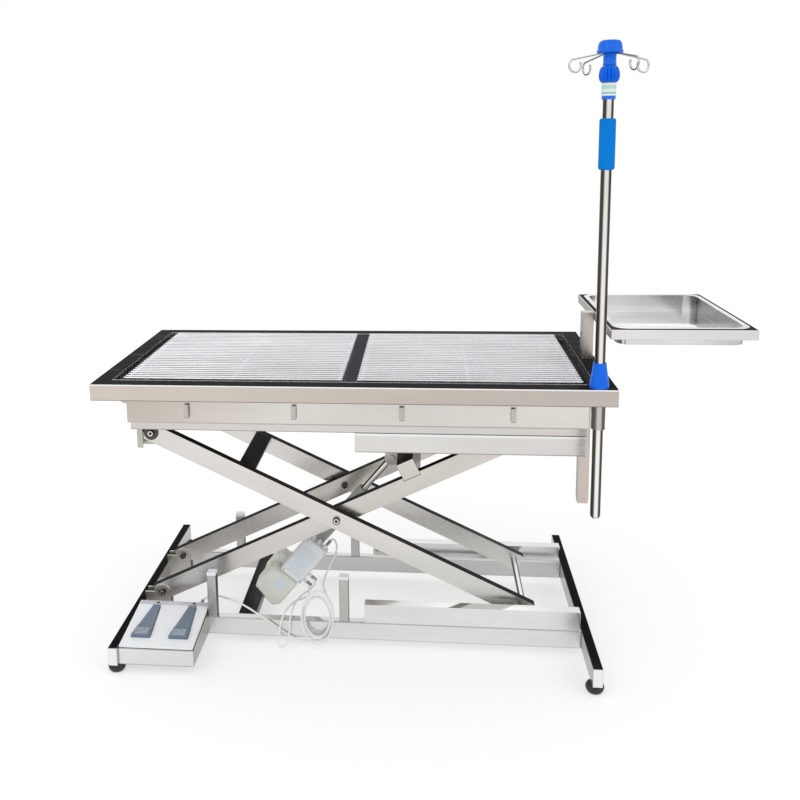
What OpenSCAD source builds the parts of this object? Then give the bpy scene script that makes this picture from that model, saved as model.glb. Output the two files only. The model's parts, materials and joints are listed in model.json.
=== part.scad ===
// Veterinary exam table: a stainless top with a basin and two grilles on an electric scissor lift,
// with a telescopic pole, an instrument tray, a foot switch, a control box and their cords.

/* [Tabletop] */
// Length of the tabletop, along X
table_l = 1300; // [1200:10:1400]
// Width of the tabletop, along Y
table_w = 650; // [620:5:700]
// Height of the rim above the floor with the lift as drawn
table_h = 762; // [720:1:800]
// Depth of the folded apron
apron_h = 42; // [36:1:50]
// Width of the flat rim
rim_w = 44; // [40:1:50]
// Width of the ledge that carries the grilles
ledge_w = 44; // [36:1:48]
// Depth of the ledge below the rim
ledge_drop = 14; // [12:1:18]
// Thickness of the folded sheet
sheet_t = 2; // [1.5:0.1:3]
// Height of the rolled inner lip above the rim
lip_h = 1.5; // [1:0.1:3]

/* [Basin] */
// Drop of the basin below the apron
basin_drop = 64; // [50:1:80]
// Distance of the basin's sides from the tabletop's edges
basin_inset = 25; // [22:1:35]
// Distance of the basin floor's left end from the tabletop's left end
basin_left = 85; // [70:1:110]
// Distance of the basin's right end from the tabletop's right end
basin_right = 63; // [61:1:90]
// Reach of the flared left end past the floor
basin_flare = 18; // [10:1:20]
// Radius of the drain outlet's bore
drain_r = 12; // [8:0.5:16]
// Length of the drain outlet
drain_l = 28; // [20:1:40]
// Distance of the drain from the middle plane, clear of the lift below it
drain_y = 60; // [45:1:80]

/* [Grilles] */
// Number of rods in each grille
rod_count = 28; // [20:1:32]
// Radius of a grille rod
rod_r = 3; // [2.5:0.1:4]
// Gap between the rim and the grilles at the front
grille_front_gap = 31; // [21:1:36]
// Gap between the rim and the grilles at the back
grille_back_gap = 6; // [4:0.5:20]
// Width of the middle divider
divider_w = 38; // [30:1:50]
// Distance of the divider's centre from the middle of the table
divider_x = 3; // [-20:1:20]

/* [Frame tubes] */
// Narrow side of the frame tubes
tube_w = 25; // [20:1:30]
// Broad side of the frame tubes
tube_h = 50; // [44:1:54]
// Length of the base over its two cross-members
base_l = 1250; // [1200:10:1300]
// Length of a base cross-member, along Y
member_l = 764; // [700:2:780]
// Distance of a side rail's centre from the middle plane
rail_y = 195.5; // [190:0.5:200]
// Left end of the upper rails
deck_x0 = -589; // [-598:1:-588]
// Depth of the bearers between the upper rails
bearer_h = 40; // [34:1:42]
// Height of the rubber feet
foot_h = 24; // [12:1:30]
// Radius of a rubber foot
foot_r = 23; // [18:1:28]
// Height of the stop posts above the rails
stop_h = 128; // [80:1:150]

/* [Tracks] */
// Outer height of a roller track
track_h = 52; // [48:1:60]
// Depth of a roller track
track_d = 30; // [28:1:34]
// Wall of a roller track
track_t = 3; // [2:0.2:3.2]
// Left end of the lower tracks
low_track_x = 30; // [10:1:60]
// Left end of the upper tracks
high_track_x = 10; // [0:1:60]
// Width of a roller
roller_w = 20; // [16:1:21]

/* [Scissor] */
// Distance between the two end pivots of an arm
arm_l = 1115; // [1090:1:1140]
// Distance of the fixed pivots from the left cross-member
pivot_inset = 50; // [44:1:60]
// Length of an arm past its end pivot
arm_over = 20; // [16:1:20]
// Distance of the inner arms' inner faces from the middle plane
arm_y = 101; // [99:1:102]
// Gap between an inner and an outer arm
arm_gap = 4; // [3.6:0.1:4.4]
// Radius of the pivot bolts
pivot_r = 8; // [6:0.5:9]
// Radius of the roller axles
axle_r = 9; // [7:0.5:10]
// Distance of the outer cross tube from its arms' fixed pivot
outer_tube_at = 276; // [260:1:290]
// Distance of the inner cross tube from its arms' fixed pivot
inner_tube_at = 792; // [780:1:800]
// Height of the inner cross tube's centre over the arms' middle line
inner_tube_up = 40.7; // [38:0.1:44]

/* [Actuator] */
// Lower pin of the actuator, along X
act_x = -235; // [-240:1:-230]
// Lower pin of the actuator, above the floor
act_z = 68; // [66:1:72]
// Distance of the rod's pin from the inner arms' fixed pivot
rod_pin_at = 743.87; // [742:0.01:746]
// Height of the rod's pin over the inner arms' middle line
rod_pin_up = 53.23; // [51:0.01:55]
// Distance from the lower pin to the end of the outer tube
act_tube_end = 396; // [380:1:400]
// Radius of the outer tube
act_tube_r = 17.5; // [15:0.5:20]
// Radius of the lifting rod
act_rod_r = 9; // [8:0.5:9.4]
// Length of the control box
box_l = 126; // [110:1:130]
// Breadth of the control box
box_w = 72; // [60:1:74]
// Depth of the control box
box_d = 36; // [30:1:38]

/* [Pole] */
// Distance of the pole from the tabletop's right end
pole_end = 42; // [38:0.5:44]
// Distance of the pole from the tabletop's front edge
pole_inset = 25; // [25:0.5:26]
// Radius of the pole's outer tube
pole_r = 12.5; // [11:0.25:13]
// Drop of the pole's lower tip below the rim
pole_drop = 334; // [312:1:362]
// Height of the top of the pole's outer tube above the rim
pole_rise = 714; // [678:1:738]
// Height of the blue cone on the rim
cone_h = 61; // [50:1:70]
// Radius of the pole's telescopic rod
mast_r = 8; // [6:0.25:9]
// Height of the foam grip's lower end above the rim
grip_up = 518; // [438:1:528]
// Length of the foam grip
grip_l = 117; // [100:1:120]
// Radius of the hooks' bend
hook_bend_r = 15; // [12:0.5:18]
// Distance from the pole to the middle of a hook's bend
hook_mid_r = 90; // [80:1:100]
// Radius of the hook wire
wire_r = 2.2; // [1.6:0.1:3]

/* [Tray] */
// Side of the tray's square post
post_w = 30; // [25:1:31]
// Distance of the post from the tabletop's right end
post_end = 23; // [22:0.5:24]
// Drop of the post's lower end below the rim
post_drop = 414; // [362:1:432]
// Height of the top of the tray frame above the rim
tray_up = 130; // [108:1:158]
// Size of the tray frame, along X
tray_l = 345; // [300:1:380]
// Size of the tray frame, along Y
tray_w = 495; // [440:1:520]
// Height of the tray frame
tray_frame_h = 25; // [20:1:30]
// Breadth of the tray frame's tubes
tray_frame_t = 20; // [16:1:24]
// Depth of the instrument pan below the frame's top
pan_depth = 42; // [36:1:60]
// Corner radius of the pan
pan_corner = 34; // [24:1:44]

/* [Foot switch] */
// Width of the foot switch
switch_w = 199; // [180:1:199]
// Front of the foot switch, along Y
switch_y0 = -372; // [-374:1:-360]
// Back of the foot switch, along Y
switch_y1 = -172; // [-176:1:-170]
// Height of its tray at the front
switch_front_h = 43.7; // [40:0.1:48]
// Slope of its top, in degrees
switch_slope = 6; // [5:0.5:7]
// Length of a pedal
pedal_l = 141; // [120:1:145]
// Width of a pedal at its front
pedal_front_w = 50; // [40:1:54]
// Width of a pedal at its back
pedal_back_w = 20; // [16:1:26]

/* [Cords] */
// Radius of the cords
cord_r = 2.5; // [2:0.1:2.6]
// Half width of the cord's coil
coil_a = 44; // [40:1:46]
// Half height of the cord's coil
coil_b = 75; // [70:1:76]
// Sideways step of the coil in each turn
coil_pitch = 6.5; // [5.8:0.1:7]

/* [Hidden] */
// Running clearance of a pin or slide, all round
fit = 0.06;
// Gap between pieces that move past each other
side_gap = 0.3;
// Gap left by a weld seam
weld_gap = 0.1;
// Overrun of a cut
over = 1;
// Smoothness of turned pieces
$fn = 48;

// Levels of the frame, from the floor up
base_top = foot_h + tube_h;
low_pivot_z = base_top + track_h / 2;
apron_z = table_h - apron_h;
basin_z = apron_z - basin_drop;
deck_z = basin_z - tube_h;
high_pivot_z = deck_z - track_h / 2;
ledge_z = table_h - ledge_drop;
bearer_z = basin_z - bearer_h;

// Places that follow the tabletop
rim_in_x = table_l / 2 - rim_w;
rim_in_y = table_w / 2 - rim_w;
basin_w = table_w - 2 * basin_inset;
basin_x0 = -table_l / 2 + basin_left;
basin_x1 = table_l / 2 - basin_right;
grille_y0 = -rim_in_y + grille_front_gap;
grille_y1 = rim_in_y - grille_back_gap;
pole_x = table_l / 2 - pole_end;
pole_y = -table_w / 2 + pole_inset;
pole_z0 = table_h - pole_drop;
pole_z1 = table_h + pole_rise;
grip_z0 = table_h + grip_up;
post_x = table_l / 2 - post_end;
post_z0 = table_h - post_drop;
tray_z = table_h + tray_up;

// Places of the base and of the rails
member_x = base_l / 2 - tube_w;
rail_in = rail_y - tube_w / 2;
rail_out = rail_y + tube_w / 2;
track_in = rail_out - track_d;
track_lip_h = 2 * track_t;
mid_member_x = -327;
mid_member_lift = 9;
mid_member_z = foot_h + mid_member_lift;
stop_cap_h = 6;
stop_shares = [-0.645, -0.0417];
foot_y = member_l / 2 - foot_r;

// The scissor as drawn
pivot_x = -member_x + pivot_inset;
lift_angle = asin((high_pivot_z - low_pivot_z) / arm_l);
roller_x = pivot_x + arm_l * cos(lift_angle);
act_run = pivot_x + rod_pin_at * cos(lift_angle) - rod_pin_up * sin(lift_angle) - act_x;
act_rise = low_pivot_z + rod_pin_at * sin(lift_angle) + rod_pin_up * cos(lift_angle) - act_z;
act_l = norm([act_run, act_rise]);
act_slope = atan2(act_rise, act_run);
arm_out = arm_y + tube_w;
outer_y = arm_out + arm_gap;
outer_out = outer_y + tube_w;
ear_t = arm_gap - 2 * side_gap;
ear_r = 22;
bolt_head_r = 10;
bolt_head_h = 6.5;
washer_r = 20;
washer_t = 3;
collar_r = 13;
roller_r = track_h / 2 - track_t - side_gap;
roller_y = rail_out - track_t - roller_w - washer_t;

// The outline of the whole table, which sets its place on the origin
tray_x0 = post_x + post_w / 2;
tray_x1 = tray_x0 + tray_l;
hook_turn = 24.3;
hook_open = 60;
hook_sweep = 262;
hook_drop = 31;
bead_share = 1.3;
hook_front = -pole_y + (hook_mid_r + hook_bend_r) * cos(hook_turn) + wire_r;
table_x = (table_l / 2 - tray_x1) / 2;
table_y = (max(hook_front, member_l / 2) - member_l / 2) / 2;

// The actuator's own pieces, along and across its line
rod_half = 8;
rod_eye_r = 13;
rod_pin_r = 6;
clevis_gap = 1.2;
clevis_in = act_rod_r + clevis_gap;
clevis_t = 5;
rod_inner_end = 281;
bore_end = 205;
gear_s0 = 18;
gear_s1 = 92;
gear_low = -26;
gear_high = 66;
gear_y0 = -20;
gear_y1 = 24;
motor_y0 = -75;
motor_chamfer = 12;
lug_r = 15;
lug_half = 10.5;
act_pin_r = 6;
bracket_t = 5;
bracket_y = lug_half + side_gap;
bracket_r = 16;
box_s0 = 69.5;
box_low = -33;
box_y1 = -24;
plug_r = 5;
plug_l = 12;
plug_shares = [0.194, 0.5, 0.778];
gland_shares = [0.095, 0.27];
clamp_w = 20;

// The foot switch, in its own sloping frame
switch_x0 = -member_x;
switch_z0 = foot_h + side_gap;
switch_wall = 1.5;
switch_back_z = switch_z0 + switch_front_h + (switch_y1 - switch_y0) * tan(switch_slope);
switch_front_z = switch_z0 + switch_front_h;
housing_up = 8;
pedal_t = 7;
pedal_pin_r = 2;
pedal_hub_r = 4.5;
pedal_well = 9;
pedal_shares = [0.1156, 0.6231];
pedal_y = 38;
gland_r = 5;
gland_l = 12;
gland_x = -430;

// The pole's head and knob
cone_r0 = 23.5;
cone_r1 = 15.5;
sleeve_r = 16.5;
sleeve_l = 103;
sleeve_z = table_h - sleeve_l;
grip_r = 18.5;
ring_h = 8;
ring_drop = 37;
ring_z = pole_z1 - ring_drop;
collar_band_r = 16.5;
knob_z = pole_z1 + side_gap;
knob_h = 38;
knob_r = 23.5;
neck_z = knob_z + knob_h + side_gap;
neck_h = 26.4;
neck_r = 13.5;
mast_inner_l = 418;
mast_z0 = pole_z1 - mast_inner_l;
head_z = neck_z + neck_h + side_gap;
head_h = 30;
head_r = 29.5;
head_flange_h = 8;
stub_r = 6;
stub_l = 20;
hook_z = head_z + 0.5 * head_flange_h;

// The tray's pieces
post_cap_h = 12;
post_sleeve_t = 3;
post_sleeve_z = bearer_z;
pan_t = 1.5;
pan_lip = 11;
pan_gap = 1;

// Cord routes, in the table's own frame
coil_x = -97;
coil_off = 0.8;
coil_y = -rail_out - cord_r - coil_off;
coil_lift = 16;
coil_z = coil_b + cord_r + side_gap + coil_lift;
coil_turns = 3.25;
coil_dip_share = 0.24;
coil_steps = 24;
lead_out = 8;
switch_route = [
    [gland_x, switch_y1 + gland_l, 85], [-430, -148, 86], [-424, -140, 90], [-408, -139, 98],
    [-386, -150, 106], [-362, -170, 112], [-336, -188, 115], [-310, -200, 112], [-285, -209, 104],
    [-260, -213, 90], [-234, -213, 72], [-208, -212.5, 54], [-184, -212, 37], [-162, -212, 25],
    [-140, -211.7, 19.5], [-118, coil_y, coil_z - coil_b], [coil_x, coil_y, coil_z - coil_b]];
lead_y = box_y1 - box_d / 2;
lead_end = box_s0 + box_l + plug_l + 2 * side_gap;
lead_top = act_point(lead_end, box_low + plug_shares[0] * box_w);
lead_bend = act_point(lead_end + lead_out, box_low + plug_shares[0] * box_w);
lead_route = [
    [coil_x + coil_a, coil_y - coil_turns * coil_pitch, coil_z],
    [coil_x + coil_a, coil_y - coil_turns * coil_pitch, coil_z + lead_out],
    [-55, -229, 120], [-64, -218, 139], [-74, -200, 149], [-82, -178, 152], [-87, -150, 150],
    [-88, -122, 149], [-85, -98, 154], [-76, -78, 168], [-64, -62, 188], [-58, -50, 210],
    [-62, lead_y, 227], [-71, lead_y, 233], [lead_bend[0], lead_y, lead_bend[1]],
    [lead_top[0], lead_y, lead_top[1]]];
motor_end = box_low - plug_l - 2 * side_gap;
function motor_gland(share, out) =
    let (spot = act_point(box_s0 + share * box_l, motor_end - out)) [spot[0], lead_y, spot[1]];
motor_route = [
    motor_gland(gland_shares[0], 0), motor_gland(gland_shares[0], lead_out / 2),
    motor_gland(gland_shares[0], lead_out),
    [-140, -60, 72], [-147, -84, 74], [-158, -115, 84], [-170, -150, 94], [-182, -182, 95],
    [-191, -208, 86], [-198, -224, 62], [-203, -230, 36], [-202, -235, 19], [-194, -240, 13],
    [-184, -238, 15], [-177, -229, 28], [-173, -222, 52], [-171, -214, 82], [-166, -192, 101],
    [-158, -160, 108], [-147, -125, 106], [-134, -92, 102], [-122, -62, 104],
    motor_gland(gland_shares[1], lead_out), motor_gland(gland_shares[1], lead_out / 2),
    motor_gland(gland_shares[1], 0)];

// Helpers

// Moves a piece from the table's own frame to the frame of the whole part
module placed() translate([table_x, table_y, 0]) children();

// Repeats a piece at the back, mirrored in the middle plane
module both_sides() {
    children();
    mirror([0, 1, 0]) children();
}

// A cylinder along Y from one place to another
module pin_y(r, y0, y1) translate([0, y1, 0]) rotate([90, 0, 0]) cylinder(r = r, h = y1 - y0);

// The frame of the inner arms: X runs up the arm from the base pivot
module on_inner() translate([pivot_x, 0, low_pivot_z]) rotate([0, -lift_angle, 0]) children();

// The frame of the outer arms: X runs down the arm from the table pivot
module on_outer() translate([pivot_x, 0, high_pivot_z]) rotate([0, lift_angle, 0]) children();

// The frame of the actuator: X runs up its line from the lower pin
module on_act() translate([act_x, 0, act_z]) rotate([0, -act_slope, 0]) children();

// A point of the actuator's frame, as X and Z of the table's frame
function act_point(s, up) = [
    act_x + s * cos(act_slope) - up * sin(act_slope),
    act_z + s * sin(act_slope) + up * cos(act_slope)];

// A plate with round corners, flat on XY
module round_plate(l, w, r, h) linear_extrude(h) {
    translate([r, 0]) square([l - 2 * r, w]);
    translate([0, r]) square([l, w - 2 * r]);
    for (x = [r, l - r], y = [r, w - r]) translate([x, y]) circle(r);
}

// Cord sweep: a smooth curve through the route, then rings of points round it
function spline(p, i, t) =
    let (a = p[max(i - 1, 0)], b = p[i], c = p[i + 1], d = p[min(i + 2, len(p) - 1)])
    0.5 * (2 * b + (c - a) * t + (2 * a - 5 * b + 4 * c - d) * t * t + (3 * b - a - 3 * c + d) * t * t * t);
function smooth(p, n) = concat(
    [for (i = [0:len(p) - 2], k = [0:n - 1]) spline(p, i, k / n)],
    [p[len(p) - 1]]);
function unit(v) = v / norm(v);
function tangent(p, i) = unit(p[min(i + 1, len(p) - 1)] - p[max(i - 1, 0)]);
function ring(c, t, r, side, n) =
    let (u = unit(cross(t, side)), v = cross(t, u))
    [for (k = [0:n - 1]) c + r * (cos(360 * k / n) * u + sin(360 * k / n) * v)];

// A tube round the points of a path, closed at both ends
module sweep(p, r, side, n) {
    last = (len(p) - 1) * n;
    polyhedron(
        points = [for (i = [0:len(p) - 1]) each ring(p[i], tangent(p, i), r, side, n)],
        faces = concat(
            [for (i = [0:len(p) - 2], k = [0:n - 1]) each [
                [i * n + k, i * n + (k + 1) % n, (i + 1) * n + k],
                [i * n + (k + 1) % n, (i + 1) * n + (k + 1) % n, (i + 1) * n + k]]],
            [for (k = [1:n - 2]) [0, k + 1, k]],
            [for (k = [1:n - 2]) [last, last + k, last + k + 1]]));
}

// The coil's middle line, an upright oval spiral that draws in at its middle turns
function coil_point(turn) =
    let (share = 1 - coil_dip_share * pow(sin(180 * turn / coil_turns), 2))
    [coil_x + coil_a * share * sin(360 * turn),
     coil_y - coil_pitch * turn,
     coil_z - coil_b * share * cos(360 * turn)];
coil_path = [for (k = [0:coil_steps * coil_turns]) coil_point(k / coil_steps)];
function path_length(p) = len(p) < 2 ? 0 : sum_steps(p, 1);
function sum_steps(p, i) = i >= len(p) ? 0 : norm(p[i] - p[i - 1]) + sum_steps(p, i + 1);
coil_gap = min([for (i = [0:len(coil_path) - 1], j = [0:len(coil_path) - 1])
    if (j - i > coil_steps / 2) norm(coil_path[i] - coil_path[j])]) - 2 * cord_r;
echo(coil_least_gap = coil_gap, coil_length = path_length(coil_path));

// Base

module cross_member(x) color("silver")
    translate([x, -member_l / 2, foot_h]) cube([tube_w, member_l, tube_h]);

module base_left_member() placed() cross_member(-member_x - tube_w);

module base_right_member() placed() cross_member(member_x);

module base_mid_member() placed() color("dimgray")
    translate([mid_member_x, -rail_in, mid_member_z]) cube([tube_h, 2 * rail_in, tube_w]);

module base_rails() placed() color("silver")
    both_sides() translate([-member_x, rail_in, foot_h]) cube([2 * member_x, tube_w, tube_h]);

// A C-shaped track with small lips at its mouth, open towards the middle plane
module track(x0, z0) {
    translate([x0, 0, z0]) difference() {
        translate([0, track_in, 0]) cube([member_x - track_t - x0, track_d, track_h]);
        translate([-over, track_in + track_t, track_t])
            cube([member_x - x0 + over, track_d - 2 * track_t, track_h - 2 * track_t]);
        translate([-over, track_in - over, track_t + track_lip_h])
            cube([member_x - x0 + over, track_t + 2 * over, track_h - 2 * track_t - 2 * track_lip_h]);
    }
}

module lower_tracks() placed() color("gainsboro") both_sides() track(low_track_x, base_top);

// A plate with a round top about the base pivot, welded to the left cross-member
module base_ear(y0) difference() {
    union() {
        translate([pivot_x, 0, low_pivot_z]) pin_y(ear_r, y0, y0 + ear_t);
        translate([-member_x, y0, foot_h]) cube([pivot_inset + ear_r, ear_t, low_pivot_z - foot_h]);
    }
    translate([pivot_x, 0, low_pivot_z]) pin_y(pivot_r + fit, y0 - over, y0 + ear_t + over);
}

module base_ears() placed() color("silver") both_sides() {
    base_ear(arm_out + side_gap);
    base_ear(arm_y - side_gap - ear_t);
}

// A bolt through a stack of plates, with a round head outside and a hexagonal nut inside
module pivot_bolt(y0, y1) {
    pin_y(pivot_r, y0, y1);
    pin_y(bolt_head_r, y1, y1 + bolt_head_h);
    translate([0, y0, 0]) rotate([90, 0, 0]) cylinder(r = bolt_head_r, h = bolt_head_h, $fn = 6);
}

module base_pivot_bolts() placed() color("gray")
    both_sides() translate([pivot_x, 0, low_pivot_z])
        pivot_bolt(arm_y - side_gap - ear_t, arm_out + side_gap + ear_t);

module stop_posts() placed() color("silver")
    both_sides() for (share = stop_shares)
        translate([share * member_x - tube_w / 2, rail_in, base_top])
            cube([tube_w, tube_w, stop_h - stop_cap_h]);

module stop_caps() placed() color("white")
    both_sides() for (share = stop_shares)
        translate([share * member_x - tube_w / 2, rail_in, base_top + stop_h - stop_cap_h])
            cube([tube_w, tube_w, stop_cap_h]);

// A rubber foot that narrows in a round towards the floor
module foot() rotate_extrude() polygon(concat(
    [[0, foot_h], [foot_r * foot_top_share, foot_h]],
    [for (a = [0:15:90]) [
        foot_r - foot_h * foot_round_share * (1 - cos(a)),
        foot_h * foot_side_share * (1 - sin(a))]],
    [[0, 0]]));
foot_top_share = 0.84;
foot_side_share = 0.7;
foot_round_share = 0.5;
foot_inset = 3;

module feet() placed() color("black")
    both_sides() for (x = [-1, 1])
        translate([x * (member_x + tube_w / 2 - foot_inset), foot_y, 0]) foot();

// Two plates on the mid member that carry the actuator's lower pin
module actuator_bracket() placed() color("gray") {
    both_sides() difference() {
        union() {
            translate([act_x, 0, act_z]) pin_y(bracket_r, bracket_y, bracket_y + bracket_t);
            translate([mid_member_x + tube_h, bracket_y, mid_member_z])
                cube([act_x - mid_member_x - tube_h, bracket_t, act_z + bracket_r - mid_member_z]);
            translate([act_x - over, bracket_y, mid_member_z])
                cube([bracket_r / 2, bracket_t, act_z - mid_member_z]);
        }
        translate([act_x, 0, act_z]) pin_y(act_pin_r + fit, bracket_y - over, bracket_y + bracket_t + over);
    }
    translate([act_x, 0, act_z]) {
        pin_y(act_pin_r, -bracket_y - bracket_t, bracket_y + bracket_t);
        both_sides() pin_y(bolt_head_r, bracket_y + bracket_t, bracket_y + bracket_t + act_pin_r / 2);
    }
}

// Foot switch

// The side outline of the foot switch, notched where it passes over the front rail
module switch_outline(inset, top) polygon([
    [switch_y0 + inset, switch_z0 + inset],
    [switch_y0 + inset, switch_front_z + top],
    [switch_y1 - inset, switch_back_z + top],
    [switch_y1 - inset, base_top + side_gap + inset],
    [-rail_out - side_gap - inset, base_top + side_gap + inset],
    [-rail_out - side_gap - inset, switch_z0 + inset]]);

module side_extrude(x0, l) translate([x0, 0, 0]) rotate([90, 0, 90]) linear_extrude(l) children();

module switch_tray() placed() color("silver") difference() {
    side_extrude(switch_x0, switch_w) switch_outline(0, 0);
    side_extrude(switch_x0 + switch_wall, switch_w - 2 * switch_wall) switch_outline(switch_wall, over);
}

// The sloping frame of the foot switch's top: X across, Y up the slope, Z out of the top
module on_switch() translate([switch_x0, switch_y0, switch_front_z + housing_up])
    rotate([switch_slope, 0, 0]) children();

// A pedal's outline seen from above, wide at the front
module pedal_outline(grow) polygon([
    [-pedal_front_w / 2 - grow, -grow], [pedal_front_w / 2 + grow, -grow],
    [pedal_back_w / 2 + grow + pedal_step, pedal_l + grow],
    [-pedal_back_w / 2 - grow + pedal_step, pedal_l + grow]]);
pedal_step = 6;
pedal_hub_y = pedal_l - pedal_hub_r;

// The moulded case with a well for each pedal and the pedals' pins
module switch_housing() placed() color("whitesmoke") {
    difference() {
        side_extrude(switch_x0 + switch_wall + side_gap, switch_w - 2 * switch_wall - 2 * side_gap)
            switch_outline(switch_wall + side_gap, housing_up);
        for (share = pedal_shares) on_switch()
            translate([share * switch_w + pedal_front_w / 2, pedal_y, -pedal_well])
                linear_extrude(pedal_well + pedal_hub_r) pedal_outline(well_gap);
    }
    for (share = pedal_shares) on_switch()
        translate([share * switch_w + pedal_front_w / 2 + pedal_step, pedal_y + pedal_hub_y, 0])
            rotate([0, 90, 0]) cylinder(r = pedal_pin_r, h = pedal_back_w + 4 * well_gap, center = true);
}
well_gap = 1.6;

// A pedal with a raised toe step and a hub for its pin at the narrow end
module pedal(x) placed() color("slategray") on_switch() translate([x + pedal_front_w / 2, pedal_y, 0]) {
    difference() {
        union() {
            intersection() {
                translate([0, 0, -pedal_well]) linear_extrude(2 * pedal_well + pedal_t) pedal_outline(0);
                side_extrude(-pedal_front_w, 2 * pedal_front_w) polygon([
                    [0, -pedal_toe], [0, pedal_t], [pedal_l * toe_share, pedal_t],
                    [pedal_l * toe_share, pedal_t - pedal_toe], [pedal_l, pedal_pin_r],
                    [pedal_l, -pedal_pin_r], [pedal_hub_y, -pedal_hub_r], [pedal_l * toe_share, -pedal_toe]]);
            }
            translate([pedal_step - pedal_back_w / 2, pedal_hub_y, 0]) rotate([0, 90, 0])
                cylinder(r = pedal_hub_r, h = pedal_back_w);
        }
        translate([-pedal_front_w, pedal_hub_y, 0]) rotate([0, 90, 0])
            cylinder(r = pedal_pin_r + fit, h = 2 * pedal_front_w);
    }
}
pedal_toe = 2;
toe_share = 0.3;

module pedal_left() pedal(pedal_shares[0] * switch_w);

module pedal_right() pedal(pedal_shares[1] * switch_w);

module cord_gland() placed() color("dimgray")
    translate([gland_x, 0, switch_route[0][2]]) pin_y(gland_r, switch_y1, switch_y1 + gland_l);

// Cords

module switch_cord() placed() color("white") sweep(smooth(switch_route, 3), cord_r, [0, 0.3, 1], 8);

module cord_coil() placed() color("white") sweep(coil_path, cord_r, [0, 1, 0], 6);

module control_lead() placed() color("white") sweep(smooth(lead_route, 3), cord_r, [1, 0, -0.2], 8);

module motor_lead() placed() color("white") sweep(smooth(motor_route, 3), cord_r, [1, 0.1, -0.2], 8);

// Scissor

module arm(y0) difference() {
    translate([-arm_over, y0, -tube_h / 2]) cube([arm_l + 2 * arm_over, tube_w, tube_h]);
    for (x = [0, arm_l / 2]) translate([x, 0, 0]) pin_y(pivot_r + fit, y0 - over, y0 + tube_w + over);
    translate([arm_l, 0, 0]) pin_y(axle_r + fit, y0 - over, y0 + tube_w + over);
}

module inner_arms() placed() color("silver") on_inner() both_sides() difference() {
    arm(arm_y);
    translate([inner_tube_at - tube_h / 2 - weld_gap, arm_y - over, inner_tube_up - tube_h / 2 - weld_gap])
        cube([tube_h + 2 * weld_gap, tube_w + 2 * over, tube_h]);
}

module inner_cross_tube() placed() color("silver") on_inner()
    translate([inner_tube_at - tube_h / 2, -arm_out, inner_tube_up - tube_h / 2])
        cube([tube_h, 2 * arm_out, tube_h]);

ear_reach = inner_tube_at - tube_h / 2 - rod_pin_at;

module rod_ears() placed() color("gray") on_inner() both_sides()
    translate([rod_pin_at, 0, rod_pin_up]) {
        pin_y(washer_r, clevis_in, clevis_in + clevis_t);
        translate([0, clevis_in, -washer_r]) cube([ear_reach, clevis_t, 2 * washer_r - rod_half]);
        pin_y(bolt_head_r, clevis_in + clevis_t, clevis_in + clevis_t + bolt_head_h);
    }

module centre_bolts() placed() color("gray") on_inner() both_sides() translate([arm_l / 2, 0, 0]) {
    pivot_bolt(arm_y - side_gap, outer_out + side_gap);
    pin_y(washer_r - washer_t, arm_out + side_gap, outer_y - side_gap);
}

// An axle with collars inside the tracks' mouths and caps outside the rollers
module axle() {
    pin_y(axle_r, -roller_y - roller_w - washer_t + weld_gap, roller_y + roller_w + washer_t - weld_gap);
    both_sides() {
        pin_y(collar_r, roller_y - side_gap - 2 * washer_t, roller_y - side_gap);
        pin_y(collar_r - weld_gap, roller_y + roller_w + side_gap, roller_y + roller_w + washer_t - weld_gap);
    }
}

module upper_axle() placed() color("gray") on_inner() translate([arm_l, 0, 0]) axle();

module lower_axle() placed() color("gray") on_outer() translate([arm_l, 0, 0]) axle();

// A roller with a turned groove round its hub
module roller(z, side) placed() color("lightgray")
    translate([roller_x, side * (roller_y + roller_w / 2), z]) rotate([90, 0, 0]) rotate_extrude() polygon([
        [axle_r + fit, -roller_w / 2], [roller_r - washer_t, -roller_w / 2],
        [roller_r, washer_t - roller_w / 2],
        [roller_r, roller_w / 2 - washer_t], [roller_r - washer_t, roller_w / 2],
        [axle_r + fit, roller_w / 2]]);

module roller_upper_front() roller(high_pivot_z, -1);

module roller_upper_back() roller(high_pivot_z, 1);

module roller_lower_front() roller(low_pivot_z, -1);

module roller_lower_back() roller(low_pivot_z, 1);

module outer_arms() placed() color("silver") on_outer() both_sides() arm(outer_y);

module outer_cross_tube() placed() color("dimgray") on_outer()
    translate([outer_tube_at - tube_h / 2, -outer_y, 0]) cube([tube_h, 2 * outer_y, tube_w]);

// Actuator

module act_extrude(y0, y1) translate([0, y1, 0]) rotate([90, 0, 0]) linear_extrude(y1 - y0) children();

// The motor's outline beside the gear block, cut back where it swings past the mid member
module motor_outline() polygon([
    [gear_low - lug_half / 2, 0], [-gear_s0, gear_high - bracket_t], [-gear_s0 + motor_chamfer, gear_high],
    [box_s0 - washer_t - motor_chamfer, gear_high], [box_s0 - washer_t, gear_high - motor_chamfer],
    [box_s0 - washer_t, gear_low], [gear_low / 2, gear_low], [gear_low - lug_half / 2, gear_low / 2]]);

module actuator_housing() placed() color("linen") on_act() difference() {
    union() {
        act_extrude(gear_y0, gear_y1) polygon([
            [gear_s0, gear_low], [gear_s0, gear_high], [gear_s1 - motor_chamfer, gear_high],
            [gear_s1, gear_high - motor_chamfer], [gear_s1, gear_low]]);
        act_extrude(motor_y0 + motor_chamfer, gear_y0) motor_outline();
        hull() {
            act_extrude(motor_y0 + motor_chamfer, motor_y0 + motor_chamfer + over) motor_outline();
            translate([gear_s0 * motor_in_share, 0, gear_s0 * motor_in_share])
                scale([1 - motor_in_share, 1, 1 - motor_in_share])
                    act_extrude(motor_y0, motor_y0 + over) motor_outline();
        }
        pin_y(lug_r, -lug_half, lug_half);
        translate([0, -lug_half, -lug_r]) cube([gear_s0 + over, 2 * lug_half, 2 * lug_r]);
    }
    pin_y(act_pin_r + fit, -bracket_y, bracket_y);
}
motor_in_share = 0.16;

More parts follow.
